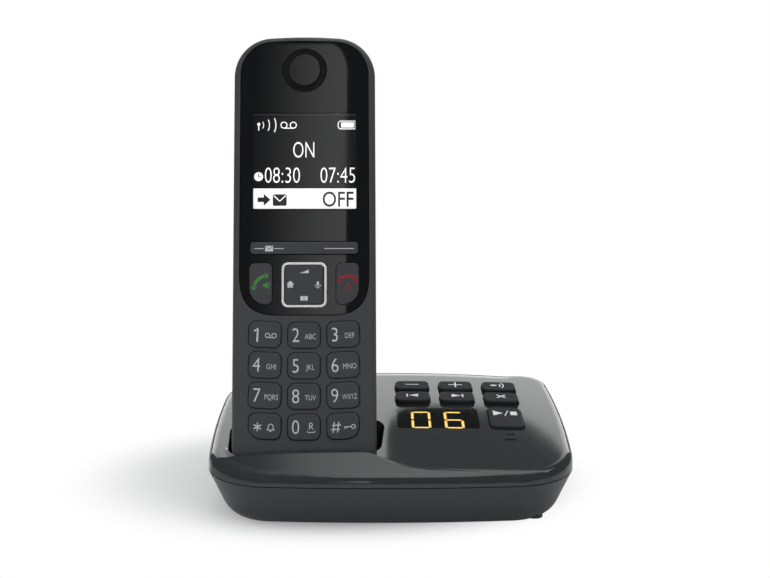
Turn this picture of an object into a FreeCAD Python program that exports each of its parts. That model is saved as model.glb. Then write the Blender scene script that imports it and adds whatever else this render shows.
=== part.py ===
import FreeCAD
import Part
import math
import os
from FreeCAD import Placement, Rotation, Vector

# Answering machine: a low charging base with seven keys and a two-digit message counter, and the
# cordless handset that stands in its cradle. Millimetres; +Z up, the front faces -Y, and the origin
# is under the middle of the base, on the surface that the feet stand on.

# Base housing
BASE_WIDTH = 127.0
BASE_DEPTH = 92.0
END_RADIUS = 520.0
SIDE_RADIUS = 300.0
FRONT_CORNER_RADIUS = 23.0
REAR_CORNER_RADIUS = 18.0
FLOOR_HEIGHT = 1.0
PARTING_HEIGHT = 17.3
BASE_WALL = 2.2
UPPER_DRAFT = 2.2
LOWER_DRAFT = 24.0
BOTTOM_ROUNDING = 9.0
PARTING_GAP = 0.3
TONGUE_HEIGHT = 1.5
TONGUE_INSET = 1.3
TONGUE_THICKNESS = 1.5

# Deck: the sloping, slightly crowned top of the base
DECK_SLOPE = 10.4
DECK_HEIGHT = 29.4
CROWN_RADIUS = 1500.0
FRONT_EDGE_ROUNDING = 3.4
REAR_EDGE_ROUNDING = 12.0
LIP_RISE = 0.95

# Handset
HANDSET_HEIGHT = 155.8
HANDSET_WIDTH = 49.4
HANDSET_TAPER = 0.5
TOP_BULGE = 1.7
TOP_CORNER = 13.5
BOTTOM_CORNER = 14.0
FRONT_ROUNDING = 1.6
BACK_ROUNDING = 7.5
HANDSET_WALL = 1.8
SPLIT_DEPTH = 8.0
SEAM = 0.25
BACK_PROFILE = [(0, 19.6), (28, 20.6), (72, 26.0), (108, 26.4), (140, 23.2),
                (HANDSET_HEIGHT, 21.0)]

# Cradle: where the handset stands in the base
LEAN = 12.2
CRADLE = Vector(34.0 - BASE_WIDTH / 2, 14.8 - BASE_DEPTH / 2, 10.79)
WELL_WALL = 1.5
WELL_FLOOR = 0.8
WELL_RIM_WIDTH = 52.4
WELL_FLOOR_WIDTH = 47.0
WELL_RIM_HEIGHT = 14.0
WELL_BACK = 20.4
WELL_FRONT_CORNER = 5.5
WELL_BACK_CORNER = 6.5
CONTACT_PLACES = (-8.0, 8.0)
CONTACT_HALF_WIDTH = 1.5

# Clearances
SLIDE_GAP = 0.3
SEAT_GAP = 0.2
KEY_TRAVEL = 0.9
FLANGE_GAP = 0.15

# Deck layout: columns are shares of the width that the well leaves free, rows are shares of the depth
DECK_LEFT = CRADLE.x + WELL_RIM_WIDTH / 2 + 0.7
DECK_SPAN = BASE_WIDTH / 2 - DECK_LEFT
KEY_COLUMNS = [DECK_LEFT + share * DECK_SPAN for share in (0.17, 0.42, 0.67)]
REAR_ROW = 0.222 * BASE_DEPTH
NEAR_ROW = 0.118 * BASE_DEPTH
BASE_KEY_WIDTH = 0.193 * DECK_SPAN
REAR_KEY_HEIGHT = 0.083 * BASE_DEPTH
NEAR_KEY_HEIGHT = 0.089 * BASE_DEPTH

# Base keys: name, x, y along the slope, width, height
BASE_KEY_RISE = 1.6
PLAY_KEY_RISE = 0.8
BASE_KEY_FLANGE = 0.6
BASE_KEY_FLANGE_THICKNESS = 0.8
BASE_KEYS = [
    ("key_volume_down", KEY_COLUMNS[0], REAR_ROW, BASE_KEY_WIDTH, REAR_KEY_HEIGHT),
    ("key_volume_up", KEY_COLUMNS[1], REAR_ROW, BASE_KEY_WIDTH, REAR_KEY_HEIGHT),
    ("key_paging", KEY_COLUMNS[2], REAR_ROW, BASE_KEY_WIDTH, REAR_KEY_HEIGHT),
    ("key_previous", KEY_COLUMNS[0], NEAR_ROW, BASE_KEY_WIDTH, NEAR_KEY_HEIGHT),
    ("key_next", KEY_COLUMNS[1], NEAR_ROW, BASE_KEY_WIDTH, NEAR_KEY_HEIGHT),
    ("key_delete", KEY_COLUMNS[2], NEAR_ROW, BASE_KEY_WIDTH, NEAR_KEY_HEIGHT),
    ("key_play_stop", KEY_COLUMNS[2], -0.045 * BASE_DEPTH, 0.183 * DECK_SPAN, 0.174 * BASE_DEPTH),
]
WINDOW = (DECK_LEFT + 0.299 * DECK_SPAN, -0.046 * BASE_DEPTH, 0.445 * DECK_SPAN, 0.174 * BASE_DEPTH)
WINDOW_THICKNESS = 0.6
DIGIT_PITCH = 11.9
DIGIT_SIZE = (7.0, 13.0)
DIGIT_BAR = 1.35
MICROPHONE_SLOTS = [(KEY_COLUMNS[2], -0.219 * BASE_DEPTH, 4.2),
                    (KEY_COLUMNS[2] + 0.6, -0.178 * BASE_DEPTH, 2.4)]

# Base circuit board: left and right ends, then front and rear ends along the slope
BASE_BOARD = (DECK_LEFT + 4.6, BASE_WIDTH / 2 - 7.25, -0.288 * BASE_DEPTH, 0.32 * BASE_DEPTH)
BASE_BOARD_DEPTH = 8.5
BOARD_THICKNESS = 1.6

# Base inside and underside
BOSS_X = BASE_WIDTH / 2 - 15.0
BOSS_Y = BASE_DEPTH / 2 - 15.0
BASE_BOSSES = [(-BOSS_X, BOSS_Y), (BOSS_X, BOSS_Y), (BOSS_X, -BOSS_Y), (CRADLE.x + 37.5, -BOSS_Y - 1.5)]
BOSS_RADIUS = 3.0
BOSS_SPLIT = 9.9
FRONT_FOOT_X = BASE_WIDTH / 2 - 27.5
REAR_FOOT_X = BASE_WIDTH / 2 - 19.5
FOOT_Y = BASE_DEPTH / 2 - 24.5
FEET = [(-FRONT_FOOT_X, -FOOT_Y), (FRONT_FOOT_X, -FOOT_Y), (-REAR_FOOT_X, FOOT_Y), (REAR_FOOT_X, FOOT_Y)]
FOOT_RADIUS = 4.5
SPEAKER = (CRADLE.x + 3.0, CRADLE.y + 45.5)
SPEAKER_RADIUS = 14.5
JACK_PITCH = 18.0
JACKS = [("power_jack", BASE_WIDTH / 2 - 47.5), ("line_jack", BASE_WIDTH / 2 - 47.5 + JACK_PITCH)]
JACK_WIDTH = 13.2
JACK_HEIGHT = 10.2
JACK_LENGTH = 14.0
JACK_BOTTOM = 4.6
JACK_FACE = BASE_DEPTH / 2 - 8.0
PLUG_WIDTH = 9.8
PLUG_HEIGHT = 6.8
PLUG_LENGTH = 12.0

# Handset front: rise of keys above the face, panel, display, number keys
PANEL_DEPTH = 0.9
PANEL_SIDE_RIM = 2.3
PANEL_TOP_RIM = 1.6
PANEL_SHOULDER = 73.5
PANEL_BOTTOM = 59.6
KEY_RISE = 0.6
KEY_DEPTH = 2.9
FLANGE_WIDTH = 0.45
DISPLAY = (0.0, 112.4, 37.2, 33.6)
DISPLAY_GAP = 0.12
KEY_SIZE = (11.0, 8.7)
KEY_CORNER = 2.4
KEY_COLUMN = 13.3
KEY_ROWS = [52.8, 42.4, 32.1, 21.7]
KEY_NAMES = [("key_1", "key_2", "key_3"), ("key_4", "key_5", "key_6"),
             ("key_7", "key_8", "key_9"), ("key_star", "key_0", "key_hash")]
SMILE_RADIUS = 284.0
CALL_KEY = (14.8, 70.35, 7.8, 14.1)
DISPLAY_KEY = (0.0, 82.6, 36.9, 4.1)
NAV_CENTRE = 70.0
NAV_OUTER = 15.4
NAV_RING = 0.8
EARPIECE_HEIGHT = 144.1
EARPIECE_RADIUS = 7.4
EARPIECE_CAP_RADIUS = 5.5
HANDSET_BOARD_DEPTH = 6.2
HANDSET_BOARD_THICKNESS = 1.2
MAT_DEPTH = 3.9
MICROPHONE_HEIGHT = 8.8

# Battery bay in the back of the handset
CELL_RADIUS = 5.25
CELL_LENGTH = 44.5
CELL_BOTTOM = 55.0
CELL_DEPTH = 16.1
BAY = (0.0, CELL_BOTTOM + CELL_LENGTH / 2, 4 * CELL_RADIUS + 2.4, CELL_LENGTH + 7.1)
BAY_FLOOR_DEPTH = CELL_DEPTH - CELL_RADIUS - 0.25
COVER = (0.0, BAY[1] - 0.25, BAY[2] + 14.6, BAY[3] + 14.4)
COVER_THICKNESS = 1.5
COVER_GAP = 0.2
SCREW_PLACES = [(-16.0, 61.4), (16.0, 61.4)]
RINGER = (0.0, COVER[1] + COVER[3] / 2 + 15.0, 10.0)


# Frames: every sub-part is drawn flat and then placed

def frame(origin, tilt):
    return Placement(origin, Rotation(Vector(1, 0, 0), tilt))


DECK_FRAME = frame(Vector(0, 0, DECK_HEIGHT), DECK_SLOPE)
FACE_FRAME = frame(CRADLE, 90 - LEAN)
CRADLE_FRAME = frame(CRADLE, -LEAN)


def on_crown(x, y):
    """Frame on the crowned deck, level with it at one point."""
    drop = Vector(x, y, -x * x / (2 * CROWN_RADIUS))
    level = Rotation(Vector(0, 1, 0), math.degrees(x / CROWN_RADIUS))
    return DECK_FRAME.multiply(Placement(drop, level))


def placed(shape, where):
    moved = shape.copy()
    moved.Placement = where.multiply(shape.Placement)
    return moved


# Flat outlines and the solids drawn from them

def rounded_rect(width, height, radii, centre=(0.0, 0.0)):
    """Face in the XY plane; one radius, or four from the lower left corner anticlockwise."""
    if not isinstance(radii, (list, tuple)):
        radii = [radii] * 4
    x, y = centre
    half_w, half_h = width / 2, height / 2
    corners = [Vector(x - half_w, y - half_h, 0), Vector(x + half_w, y - half_h, 0),
               Vector(x + half_w, y + half_h, 0), Vector(x - half_w, y + half_h, 0)]
    edges = []
    ends = []
    for i, corner in enumerate(corners):
        arriving = (corner - corners[i - 1]).normalize()
        leaving = (corners[(i + 1) % 4] - corner).normalize()
        start = corner - arriving * radii[i]
        end = corner + leaving * radii[i]
        middle = start + leaving * radii[i]
        bend = middle + (corner - middle).normalize() * radii[i]
        edges.append(Part.Arc(start, bend, end).toShape())
        ends.append((start, end))
    for i in range(4):
        edges.insert(2 * i + 1, Part.makeLine(ends[i][1], ends[(i + 1) % 4][0]))
    return Part.Face(Part.Wire(edges))


def prism(face, low, high):
    """The face extruded along Z, from low to high."""
    base = face.copy()
    base.translate(Vector(0, 0, low))
    return base.extrude(Vector(0, 0, high - low))


def disc(x, y, radius, low, high):
    return Part.makeCylinder(radius, high - low, Vector(x, y, low))


def block(x0, x1, y0, y1, z0, z1):
    return Part.makeBox(x1 - x0, y1 - y0, z1 - z0, Vector(x0, y0, z0))


def fused(shapes):
    whole = shapes[0]
    if len(shapes) > 1:
        whole = whole.multiFuse(shapes[1:])
    return whole.removeSplitter()


def cut_all(body, tools):
    return body.cut(Part.makeCompound(tools))


def face_towards(body, direction):
    """The face of the body that lies furthest along a direction."""
    return max(body.Faces, key=lambda face: face.CenterOfMass.dot(direction))


def with_soft_top(body, radius):
    """Round the edge of the face on top, as a moulded key has it."""
    return body.makeFillet(radius, face_towards(body, Vector(0, 0, 1)).OuterWire.Edges)


# Base housing

def corner_arc(radius, inset, height):
    """Start, middle and end of the corner that joins the rear arc to the right-hand side arc."""
    half_w, half_d = BASE_WIDTH / 2, BASE_DEPTH / 2
    end_centre = Vector(0, half_d - END_RADIUS, height)
    side_centre = Vector(half_w - SIDE_RADIUS, 0, height)
    across = side_centre - end_centre
    gap = across.Length
    across.normalize()
    to_end = END_RADIUS - radius
    to_side = SIDE_RADIUS - radius
    along = (to_end ** 2 - to_side ** 2 + gap ** 2) / (2 * gap)
    off = math.sqrt(to_end ** 2 - along ** 2)
    corner = end_centre + across * along + Vector(across.y, -across.x, 0) * off
    start = end_centre + (corner - end_centre).normalize() * (END_RADIUS - inset)
    end = side_centre + (corner - side_centre).normalize() * (SIDE_RADIUS - inset)
    halfway = (start - corner) + (end - corner)
    return [start, corner + halfway.normalize() * (radius - inset), end]


def base_outline(inset, height):
    """Rounded rectangle of eight arcs: long shallow ones for the sides, short ones at the corners."""
    half_w, half_d = BASE_WIDTH / 2, BASE_DEPTH / 2
    rear = corner_arc(REAR_CORNER_RADIUS, inset, height)
    front = corner_arc(FRONT_CORNER_RADIUS, inset, height)
    corners = []
    for points, sign_x, sign_y in [(front, 1, -1), (rear[::-1], 1, 1), (rear, -1, 1), (front[::-1], -1, -1)]:
        corners.append([Vector(p.x * sign_x, p.y * sign_y, height) for p in points])
    tips = [Vector(half_w - inset, 0, height), Vector(0, half_d - inset, height),
            Vector(inset - half_w, 0, height), Vector(0, inset - half_d, height)]
    edges = []
    for i, points in enumerate(corners):
        edges.append(Part.Arc(*points).toShape())
        edges.append(Part.Arc(points[-1], tips[i], corners[(i + 1) % 4][0]).toShape())
    return Part.Wire(edges)


def crown(offset):
    """Cylinder under the deck's crowned surface, moved outwards by offset, in the deck's frame."""
    radius = CROWN_RADIUS + offset
    body = Part.makeCylinder(radius, 240, Vector(0, -120, -CROWN_RADIUS), Vector(0, 1, 0))
    body.rotate(Vector(0, 0, -CROWN_RADIUS), Vector(0, 1, 0), 90)
    return body


def deck_layer(face, low, high):
    """Part of a prism that lies between two heights above the crowned deck."""
    return prism(face, -25, 25).common(crown(high)).cut(crown(low))


def drafted(inset, bottom, top, lean, parting):
    """Solid between two outlines that shrinks upwards with a draft angle."""
    slope = math.tan(math.radians(lean))
    low = base_outline(inset + (bottom - parting) * slope, bottom)
    high = base_outline(inset + (top - parting) * slope, top)
    return Part.makeLoft([low, high], True, True)


def blended(body, edge_radii):
    """Fillet with a radius for each end of each edge."""
    document = FreeCAD.newDocument("blend")
    source = document.addObject("Part::Feature", "source")
    source.Shape = body
    fillet = document.addObject("Part::Fillet", "fillet")
    fillet.Base = source
    fillet.Edges = edge_radii
    document.recompute()
    result = fillet.Shape.copy()
    FreeCAD.closeDocument(document.Name)
    return result


def deck_edge_radius(point, inset):
    """Small rounding along the front and the sides, growing round the rear corners to a large one."""
    corner_start = BASE_DEPTH / 2 - REAR_CORNER_RADIUS
    part = min(1.0, max(0.0, (point.y - corner_start) / (0.8 * REAR_CORNER_RADIUS)))
    return FRONT_EDGE_ROUNDING + (REAR_EDGE_ROUNDING - FRONT_EDGE_ROUNDING) * part - inset


def crowned_body(inset):
    """Upper housing as a full solid, from well under the parting line up to the deck."""
    body = drafted(inset, 0.5, 48.0, UPPER_DRAFT, PARTING_HEIGHT)
    body = body.common(placed(crown(-inset), DECK_FRAME)).Solids[0]
    deck = face_towards(body, Vector(0, 0, 1))
    radii = []
    for edge in deck.OuterWire.Edges:
        number = [i for i, other in enumerate(body.Edges, 1) if other.isSame(edge)][0]
        ends = body.Edges[number - 1].Vertexes
        first = deck_edge_radius(ends[0].Point, inset)
        last = deck_edge_radius(ends[-1].Point, inset)
        radii.append((number, first, last))
    return blended(body, radii)


def smooth_curve(points):
    curve = Part.BSplineCurve()
    curve.interpolate(points)
    return curve.toShape()


def front_lip():
    """Raised lip before the well: its ridge sweeps down to the right and dies out at the front edge."""
    def on_deck(x, y, rise):
        x += CRADLE.x
        y += CRADLE.y
        slope = math.tan(math.radians(DECK_SLOPE))
        return Vector(x, y, DECK_HEIGHT + y * slope - x * x / (2 * CROWN_RADIUS) + rise)

    ridge = [(-27.5, 7.0, 0.02), (-22.5, 3.0, 0.5), (-14, 1.8, 0.9), (0, 1.6, 1.0), (14, 1.8, 1.0),
             (21.5, 0.2, 0.9), (28.0, -4.6, 0.6), (34.0, -8.2, 0.32), (42.5, -10.2, 0.14),
             (58.0, -10.6, 0.02)]
    front = [(-27.3, 4.0, -0.05), (-21.5, -3.8, -0.05), (-13, -8.4, -0.05), (0, -10.4, -0.05),
             (13, -11.0, -0.05), (21.5, -11.3, -0.05), (34.5, -11.3, -0.05), (58.0, -11.2, -0.05)]
    crest = smooth_curve([on_deck(x, y, rise * LIP_RISE) for x, y, rise in ridge])
    behind = smooth_curve([on_deck(x + 0.6, y + 1.1, -0.05) for x, y, rise in ridge])
    before = smooth_curve([on_deck(x, y, rise) for x, y, rise in front])
    strips = [Part.makeRuledSurface(before, crest), Part.makeRuledSurface(crest, behind)]
    return [strip.extrude(Vector(0, 0, -1.5)) for strip in strips]


def well(grow, bottom):
    """Cradle well, in the cradle's frame: it widens from the floor towards the rim."""
    def section(height):
        part = height / WELL_RIM_HEIGHT
        width = WELL_FLOOR_WIDTH + (WELL_RIM_WIDTH - WELL_FLOOR_WIDTH) * part + 2 * grow
        front = -0.6 - 1.2 * part - grow
        back = WELL_BACK + 0.9 * part + grow
        radii = [WELL_FRONT_CORNER + grow] * 2 + [WELL_BACK_CORNER + grow] * 2
        face = rounded_rect(width, back - front, radii, (0.0, (back + front) / 2))
        face.translate(Vector(0, 0, height))
        return face.OuterWire
    return placed(Part.makeLoft([section(bottom), section(3 * WELL_RIM_HEIGHT)], True, True), CRADLE_FRAME)


def base_key_face(key, grow):
    """Outline of a base key in the deck's frame, grown by a clearance or a flange."""
    name, x, y, width, height = key
    return rounded_rect(width + 2 * grow, height + 2 * grow, 2.0 + grow, (x, y))


def boss_holes(low, high, radius):
    return [disc(x, y, radius, low, high) for x, y in BASE_BOSSES]


def charging_slots(low, high, grow):
    """Slots or strips for the two charging contacts, in the cradle's frame."""
    strips = []
    for x in CONTACT_PLACES:
        half = CONTACT_HALF_WIDTH + grow
        strip = block(x - half, x + half, 4.2 - grow, 7.2 + grow, low, high)
        strips.append(placed(strip, CRADLE_FRAME))
    return strips


def board_posts():
    """Posts under the deck that carry the circuit board, two of them between the rear keys."""
    left, right, front, rear = BASE_BOARD
    between_keys = [(KEY_COLUMNS[0] + KEY_COLUMNS[1]) / 2, (KEY_COLUMNS[1] + KEY_COLUMNS[2]) / 2]
    places = [(x, rear - 3.2) for x in between_keys] + [(left + 3.0, front + 3.5), (right - 3.2, front + 6.5)]
    top = crown(-1.0)
    return [placed(disc(x, y, 1.9, -BASE_BOARD_DEPTH, 0).common(top), DECK_FRAME) for x, y in places]


def parting_ring(outer_inset, inner_inset, low, high):
    """Straight-sided ring inside the housing wall: the tongue of the lower shell or its groove."""
    outer = drafted(outer_inset, low, high, 0.0, low)
    return outer.cut(drafted(inner_inset, low - 1, high + 1, 0.0, low))


def base_upper_shell():
    outer = crowned_body(0.0)
    inner = crowned_body(BASE_WALL)
    below = block(-BASE_WIDTH, BASE_WIDTH, -BASE_DEPTH, BASE_DEPTH, -5, PARTING_HEIGHT)
    wall = outer.cut(inner).cut(below)
    beside_lower_shell = below.cut(lower_body(BASE_WALL + SLIDE_GAP))
    tub = well(WELL_WALL, -WELL_FLOOR - WELL_WALL).common(outer).cut(beside_lower_shell)
    bosses = [disc(x, y, BOSS_RADIUS, BOSS_SPLIT, 40.0).common(outer) for x, y in BASE_BOSSES]
    body = wall.multiFuse([tub] + front_lip() + bosses + board_posts())
    groove = parting_ring(TONGUE_INSET - SLIDE_GAP, TONGUE_INSET + TONGUE_THICKNESS + SLIDE_GAP,
                          PARTING_HEIGHT - 1, PARTING_HEIGHT + TONGUE_HEIGHT)
    tools = [well(0.0, -WELL_FLOOR), groove]
    for key in BASE_KEYS:
        tools.append(placed(prism(base_key_face(key, SLIDE_GAP), -7, 12), DECK_FRAME))
    x, y, width, height = WINDOW
    recess = deck_layer(rounded_rect(width + 0.1, height + 0.1, 1.5, (x, y)), -WINDOW_THICKNESS - 0.1, 6)
    opening = prism(rounded_rect(width - 0.8, height - 0.6, 1.2, (x, y)), -7, 12)
    tools += [placed(recess, DECK_FRAME), placed(opening, DECK_FRAME)]
    for x, y, width in MICROPHONE_SLOTS:
        tools.append(placed(prism(rounded_rect(width, 0.8, 0.39, (x, y)), -5, 8), DECK_FRAME))
    tools += charging_slots(-WELL_FLOOR - WELL_WALL - 1, 1.0, 0.3)
    tools += boss_holes(BOSS_SPLIT - 1, 17.5, 1.3)
    return cut_all(body, tools)


def lower_body(inset):
    """Lower housing as a full solid: drafted sides with a large rounding towards the underside."""
    floor = FLOOR_HEIGHT + inset
    top = PARTING_HEIGHT - PARTING_GAP + inset
    body = drafted(inset, floor, top, -LOWER_DRAFT, PARTING_HEIGHT - PARTING_GAP)
    bottom = face_towards(body, Vector(0, 0, -1))
    return body.makeFillet(BOTTOM_ROUNDING - inset, bottom.OuterWire.Edges)


def base_lower_shell():
    outer = lower_body(0.0)
    inner = lower_body(BASE_WALL)
    tongue = parting_ring(TONGUE_INSET, TONGUE_INSET + TONGUE_THICKNESS, PARTING_HEIGHT - 2.3,
                          PARTING_HEIGHT + TONGUE_HEIGHT - SEAT_GAP)
    wall = outer.cut(inner).fuse(tongue)
    inside = FLOOR_HEIGHT + BASE_WALL
    top = PARTING_HEIGHT - PARTING_GAP
    extras = boss_holes(FLOOR_HEIGHT + 1.0, BOSS_SPLIT, BOSS_RADIUS)
    x, y = SPEAKER
    extras.append(disc(x, y, SPEAKER_RADIUS + 1.6, inside - 0.5, inside + 3.0)
                  .cut(disc(x, y, SPEAKER_RADIUS + SLIDE_GAP, 0, 20)))
    left = JACKS[0][1] - 9.8
    right = JACKS[-1][1] + 9.8
    extras.append(block(left, right, JACK_FACE - 1.8, 60, JACK_BOTTOM - 2.4, top).common(outer))
    for name, jack_x in JACKS:
        for side in (-4.0, 4.0):
            extras.append(block(jack_x + side - 0.8, jack_x + side + 0.8, JACK_FACE - 13.0, JACK_FACE - 2.0,
                                inside - 0.5, JACK_BOTTOM - SEAT_GAP))
    body = wall.multiFuse(extras)
    tools = [block(left + 1.8, right - 1.8, JACK_FACE, 60, JACK_BOTTOM - 0.6, top - 1.4)]
    for name, jack_x in JACKS:
        half = JACK_WIDTH / 2 + SLIDE_GAP
        tools.append(block(jack_x - half, jack_x + half, JACK_FACE - 5, JACK_FACE + 1,
                           JACK_BOTTOM - SLIDE_GAP, JACK_BOTTOM + JACK_HEIGHT + SLIDE_GAP))
    for step in range(-3, 4):
        length = 2 * math.sqrt((SPEAKER_RADIUS - 2.5) ** 2 - (step * 3.4) ** 2)
        slot = rounded_rect(1.3, length, 0.64, (x + step * 3.4, y))
        tools.append(prism(slot, 0, inside + 1))
    tools += [disc(fx, fy, FOOT_RADIUS + 0.2, 0, FLOOR_HEIGHT + 0.5) for fx, fy in FEET]
    tools += boss_holes(0, 5.0, 2.8)
    tools += boss_holes(4, 12, 1.45)
    return cut_all(body, tools)


def base_feet():
    pads = []
    for x, y in FEET:
        pad = disc(x, y, FOOT_RADIUS, 0, FLOOR_HEIGHT + 0.5)
        pads.append(pad.makeFillet(0.5, face_towards(pad, Vector(0, 0, -1)).OuterWire.Edges))
    return Part.makeCompound(pads)


def screw(x, y, head_low, head_high, tip, head_radius, shank_radius):
    """Pan-head screw with a cross recess; the head is at the low end."""
    head = disc(x, y, head_radius, head_low, head_high)
    shank = disc(x, y, shank_radius, head_high - 0.1, tip)
    recess = fused([block(x - 1.3, x + 1.3, y - 0.3, y + 0.3, head_low - 1, head_low + 0.9),
                    block(x - 0.3, x + 0.3, y - 1.3, y + 1.3, head_low - 1, head_low + 0.9)])
    return head.fuse(shank).cut(recess)


def base_screws():
    return Part.makeCompound([screw(x, y, 3.2, 4.95, 17.0, 2.5, 1.2) for x, y in BASE_BOSSES])


def base_circuit_board():
    """Board hung from the posts, with three chips on its underside."""
    left, right, front, rear = BASE_BOARD
    x, y = (left + right) / 2, (front + rear) / 2
    low = -BASE_BOARD_DEPTH - BOARD_THICKNESS
    parts = [prism(rounded_rect(right - left, rear - front, 1.5, (x, y)), low, -BASE_BOARD_DEPTH),
             prism(rounded_rect(16, 14, 0.6, (x - 11, y - 8)), low - 2.2, low + 0.1),
             prism(rounded_rect(8, 11, 0.4, (x + 13, y - 13)), low - 2.6, low + 0.1),
             prism(rounded_rect(20, 9, 0.4, (x + 1, y + 12)), low - 3.0, low + 0.1)]
    return cut_all(placed(fused(parts), DECK_FRAME), boss_holes(0, 40, BOSS_RADIUS + 0.5))


def base_key_mat():
    """Rubber mat: a web on the board and a raised pad under each key."""
    web_top = -BASE_BOARD_DEPTH + 1.2
    pad_top = -BASE_WALL - FLANGE_GAP - BASE_KEY_FLANGE_THICKNESS - KEY_TRAVEL - 0.25
    parts = []
    for key in BASE_KEYS:
        parts.append(prism(base_key_face(key, 1.0), -BASE_BOARD_DEPTH, web_top))
        parts.append(prism(base_key_face(key, -1.2), -BASE_BOARD_DEPTH, 0).common(crown(pad_top)))
    for key, other in zip(BASE_KEYS[:2] + BASE_KEYS[3:5], BASE_KEYS[1:3] + BASE_KEYS[4:6]):
        bridge = rounded_rect(other[1] - key[1], 3.0, 0.5, ((key[1] + other[1]) / 2, key[2]))
        parts.append(prism(bridge, -BASE_BOARD_DEPTH, web_top))
    delete_key, play_key = BASE_KEYS[5:]
    halfway = (play_key[1], (delete_key[2] + play_key[2]) / 2)
    link = rounded_rect(6.0, delete_key[2] - play_key[2], 0.5, halfway)
    parts.append(prism(link, -BASE_BOARD_DEPTH, web_top))
    return placed(fused(parts), DECK_FRAME)


def base_key(key):
    """Key cap with a flange that holds it under the deck."""
    rise = PLAY_KEY_RISE if key[0] == "key_play_stop" else BASE_KEY_RISE
    flange_top = -BASE_WALL - FLANGE_GAP
    bottom = flange_top - BASE_KEY_FLANGE_THICKNESS
    cap = with_soft_top(deck_layer(base_key_face(key, 0.0), bottom, rise), 0.7)
    flange = deck_layer(base_key_face(key, BASE_KEY_FLANGE), bottom, flange_top)
    return placed(fused([cap, flange]), DECK_FRAME)


def base_display_window():
    x, y, width, height = WINDOW
    pane = deck_layer(rounded_rect(width, height, 1.5, (x, y)), -WINDOW_THICKNESS, -0.05)
    return placed(pane, DECK_FRAME)


def led_display():
    """Two-digit module close under the window: the case and seven raised bars for each digit."""
    x, y, width, height = WINDOW
    top = -WINDOW_THICKNESS - 0.4
    parts = [prism(rounded_rect(width - 1.7, height - 1.6, 0.5), top - 6.0, top)]
    for side in (-0.5, 0.5):
        parts += digit_bars(side * DIGIT_PITCH, top - 0.05, top + 0.15)
    legs = prism(rounded_rect(width - 5.0, 1.0, 0.4), top - 7.0, top - 5.9)
    return placed(fused(parts + [legs]), on_crown(x, y))


def digit_bars(x, low, high):
    """Seven bars of one digit, in the frame of the module."""
    width, height = DIGIT_SIZE
    bar = DIGIT_BAR
    half_w, half_h = width / 2, height / 2
    bars = []
    for row in (-1, 0, 1):
        bars.append(prism(rounded_rect(width - 2 * bar, bar, 0.3, (x, row * (half_h - bar / 2))), low, high))
    for column in (-1, 1):
        for row in (-1, 1):
            centre = (x + column * (half_w - bar / 2), row * half_h / 2)
            bars.append(prism(rounded_rect(bar, half_h - 1.3 * bar, 0.3, centre), low, high))
    return bars


def base_charging_contacts():
    """Two bent strips under the well floor, each with a nose through its slot."""
    under = -WELL_FLOOR - WELL_WALL - SEAT_GAP
    strips = []
    for x in CONTACT_PLACES:
        left, right = x - CONTACT_HALF_WIDTH, x + CONTACT_HALF_WIDTH
        strip = block(left, right, 2.6, 12.0, under - 0.4, under)
        nose = block(left, right, 4.4, 7.0, under - 0.1, -0.25)
        nose = nose.makeFillet(0.8, [edge for edge in nose.Edges
                                     if abs(edge.BoundBox.ZMin + 0.25) < 0.01 and edge.BoundBox.XLength > 2])
        strips.append(placed(fused([strip, nose]), CRADLE_FRAME))
    return Part.makeCompound(strips)


def base_speaker():
    """Cone speaker, face down over the slots, with its magnet on top."""
    x, y = SPEAKER
    low = FLOOR_HEIGHT + BASE_WALL + SEAT_GAP
    basket = disc(x, y, SPEAKER_RADIUS, low, low + 1.6)
    cone = Part.makeCone(SPEAKER_RADIUS - 1.5, 9.5, 3.2, Vector(x, y, low + 1.4))
    magnet = disc(x, y, 9.5, low + 4.4, low + 8.0)
    hollow = Part.makeCone(SPEAKER_RADIUS - 3.0, 4.0, 3.0, Vector(x, y, low - 0.1))
    return fused([basket, cone, magnet]).cut(hollow)


def jack(x):
    """Modular socket: a plug's place with its opening to the rear, and a groove for the latch."""
    body = block(x - JACK_WIDTH / 2, x + JACK_WIDTH / 2, JACK_FACE - JACK_LENGTH, JACK_FACE - SEAT_GAP,
                 JACK_BOTTOM, JACK_BOTTOM + JACK_HEIGHT)
    low = JACK_BOTTOM + 1.9
    cavity = block(x - PLUG_WIDTH / 2, x + PLUG_WIDTH / 2, JACK_FACE - PLUG_LENGTH, JACK_FACE + 1, low,
                   low + PLUG_HEIGHT)
    latch = block(x - 3.1, x + 3.1, JACK_FACE - PLUG_LENGTH, JACK_FACE + 1, low - 1.2, low + 0.1)
    return body.cut(cavity).cut(latch)


def base_antennas():
    """Two folded metal strips that stand on the board, in front of the window and of the play key."""
    left, right, front, rear = BASE_BOARD
    foot_low = -BASE_BOARD_DEPTH
    strips = []
    for x in (WINDOW[0] + 8.4, KEY_COLUMNS[2] + 2.0):
        y = front + 5.0
        parts = [block(x - 3.0, x + 3.0, y, y + 1.4, foot_low, foot_low + 0.4),
                 block(x - 3.0, x + 3.0, y + 1.0, y + 1.4, foot_low, foot_low + 3.4),
                 block(x - 3.0, x + 3.0, y - 0.4, y + 1.4, foot_low + 3.0, foot_low + 3.4)]
        strips.append(fused(parts))
    return placed(Part.makeCompound(strips), DECK_FRAME)


# Handset housing, in the face's frame: X right, Y up the handset, Z out of the front

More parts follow.
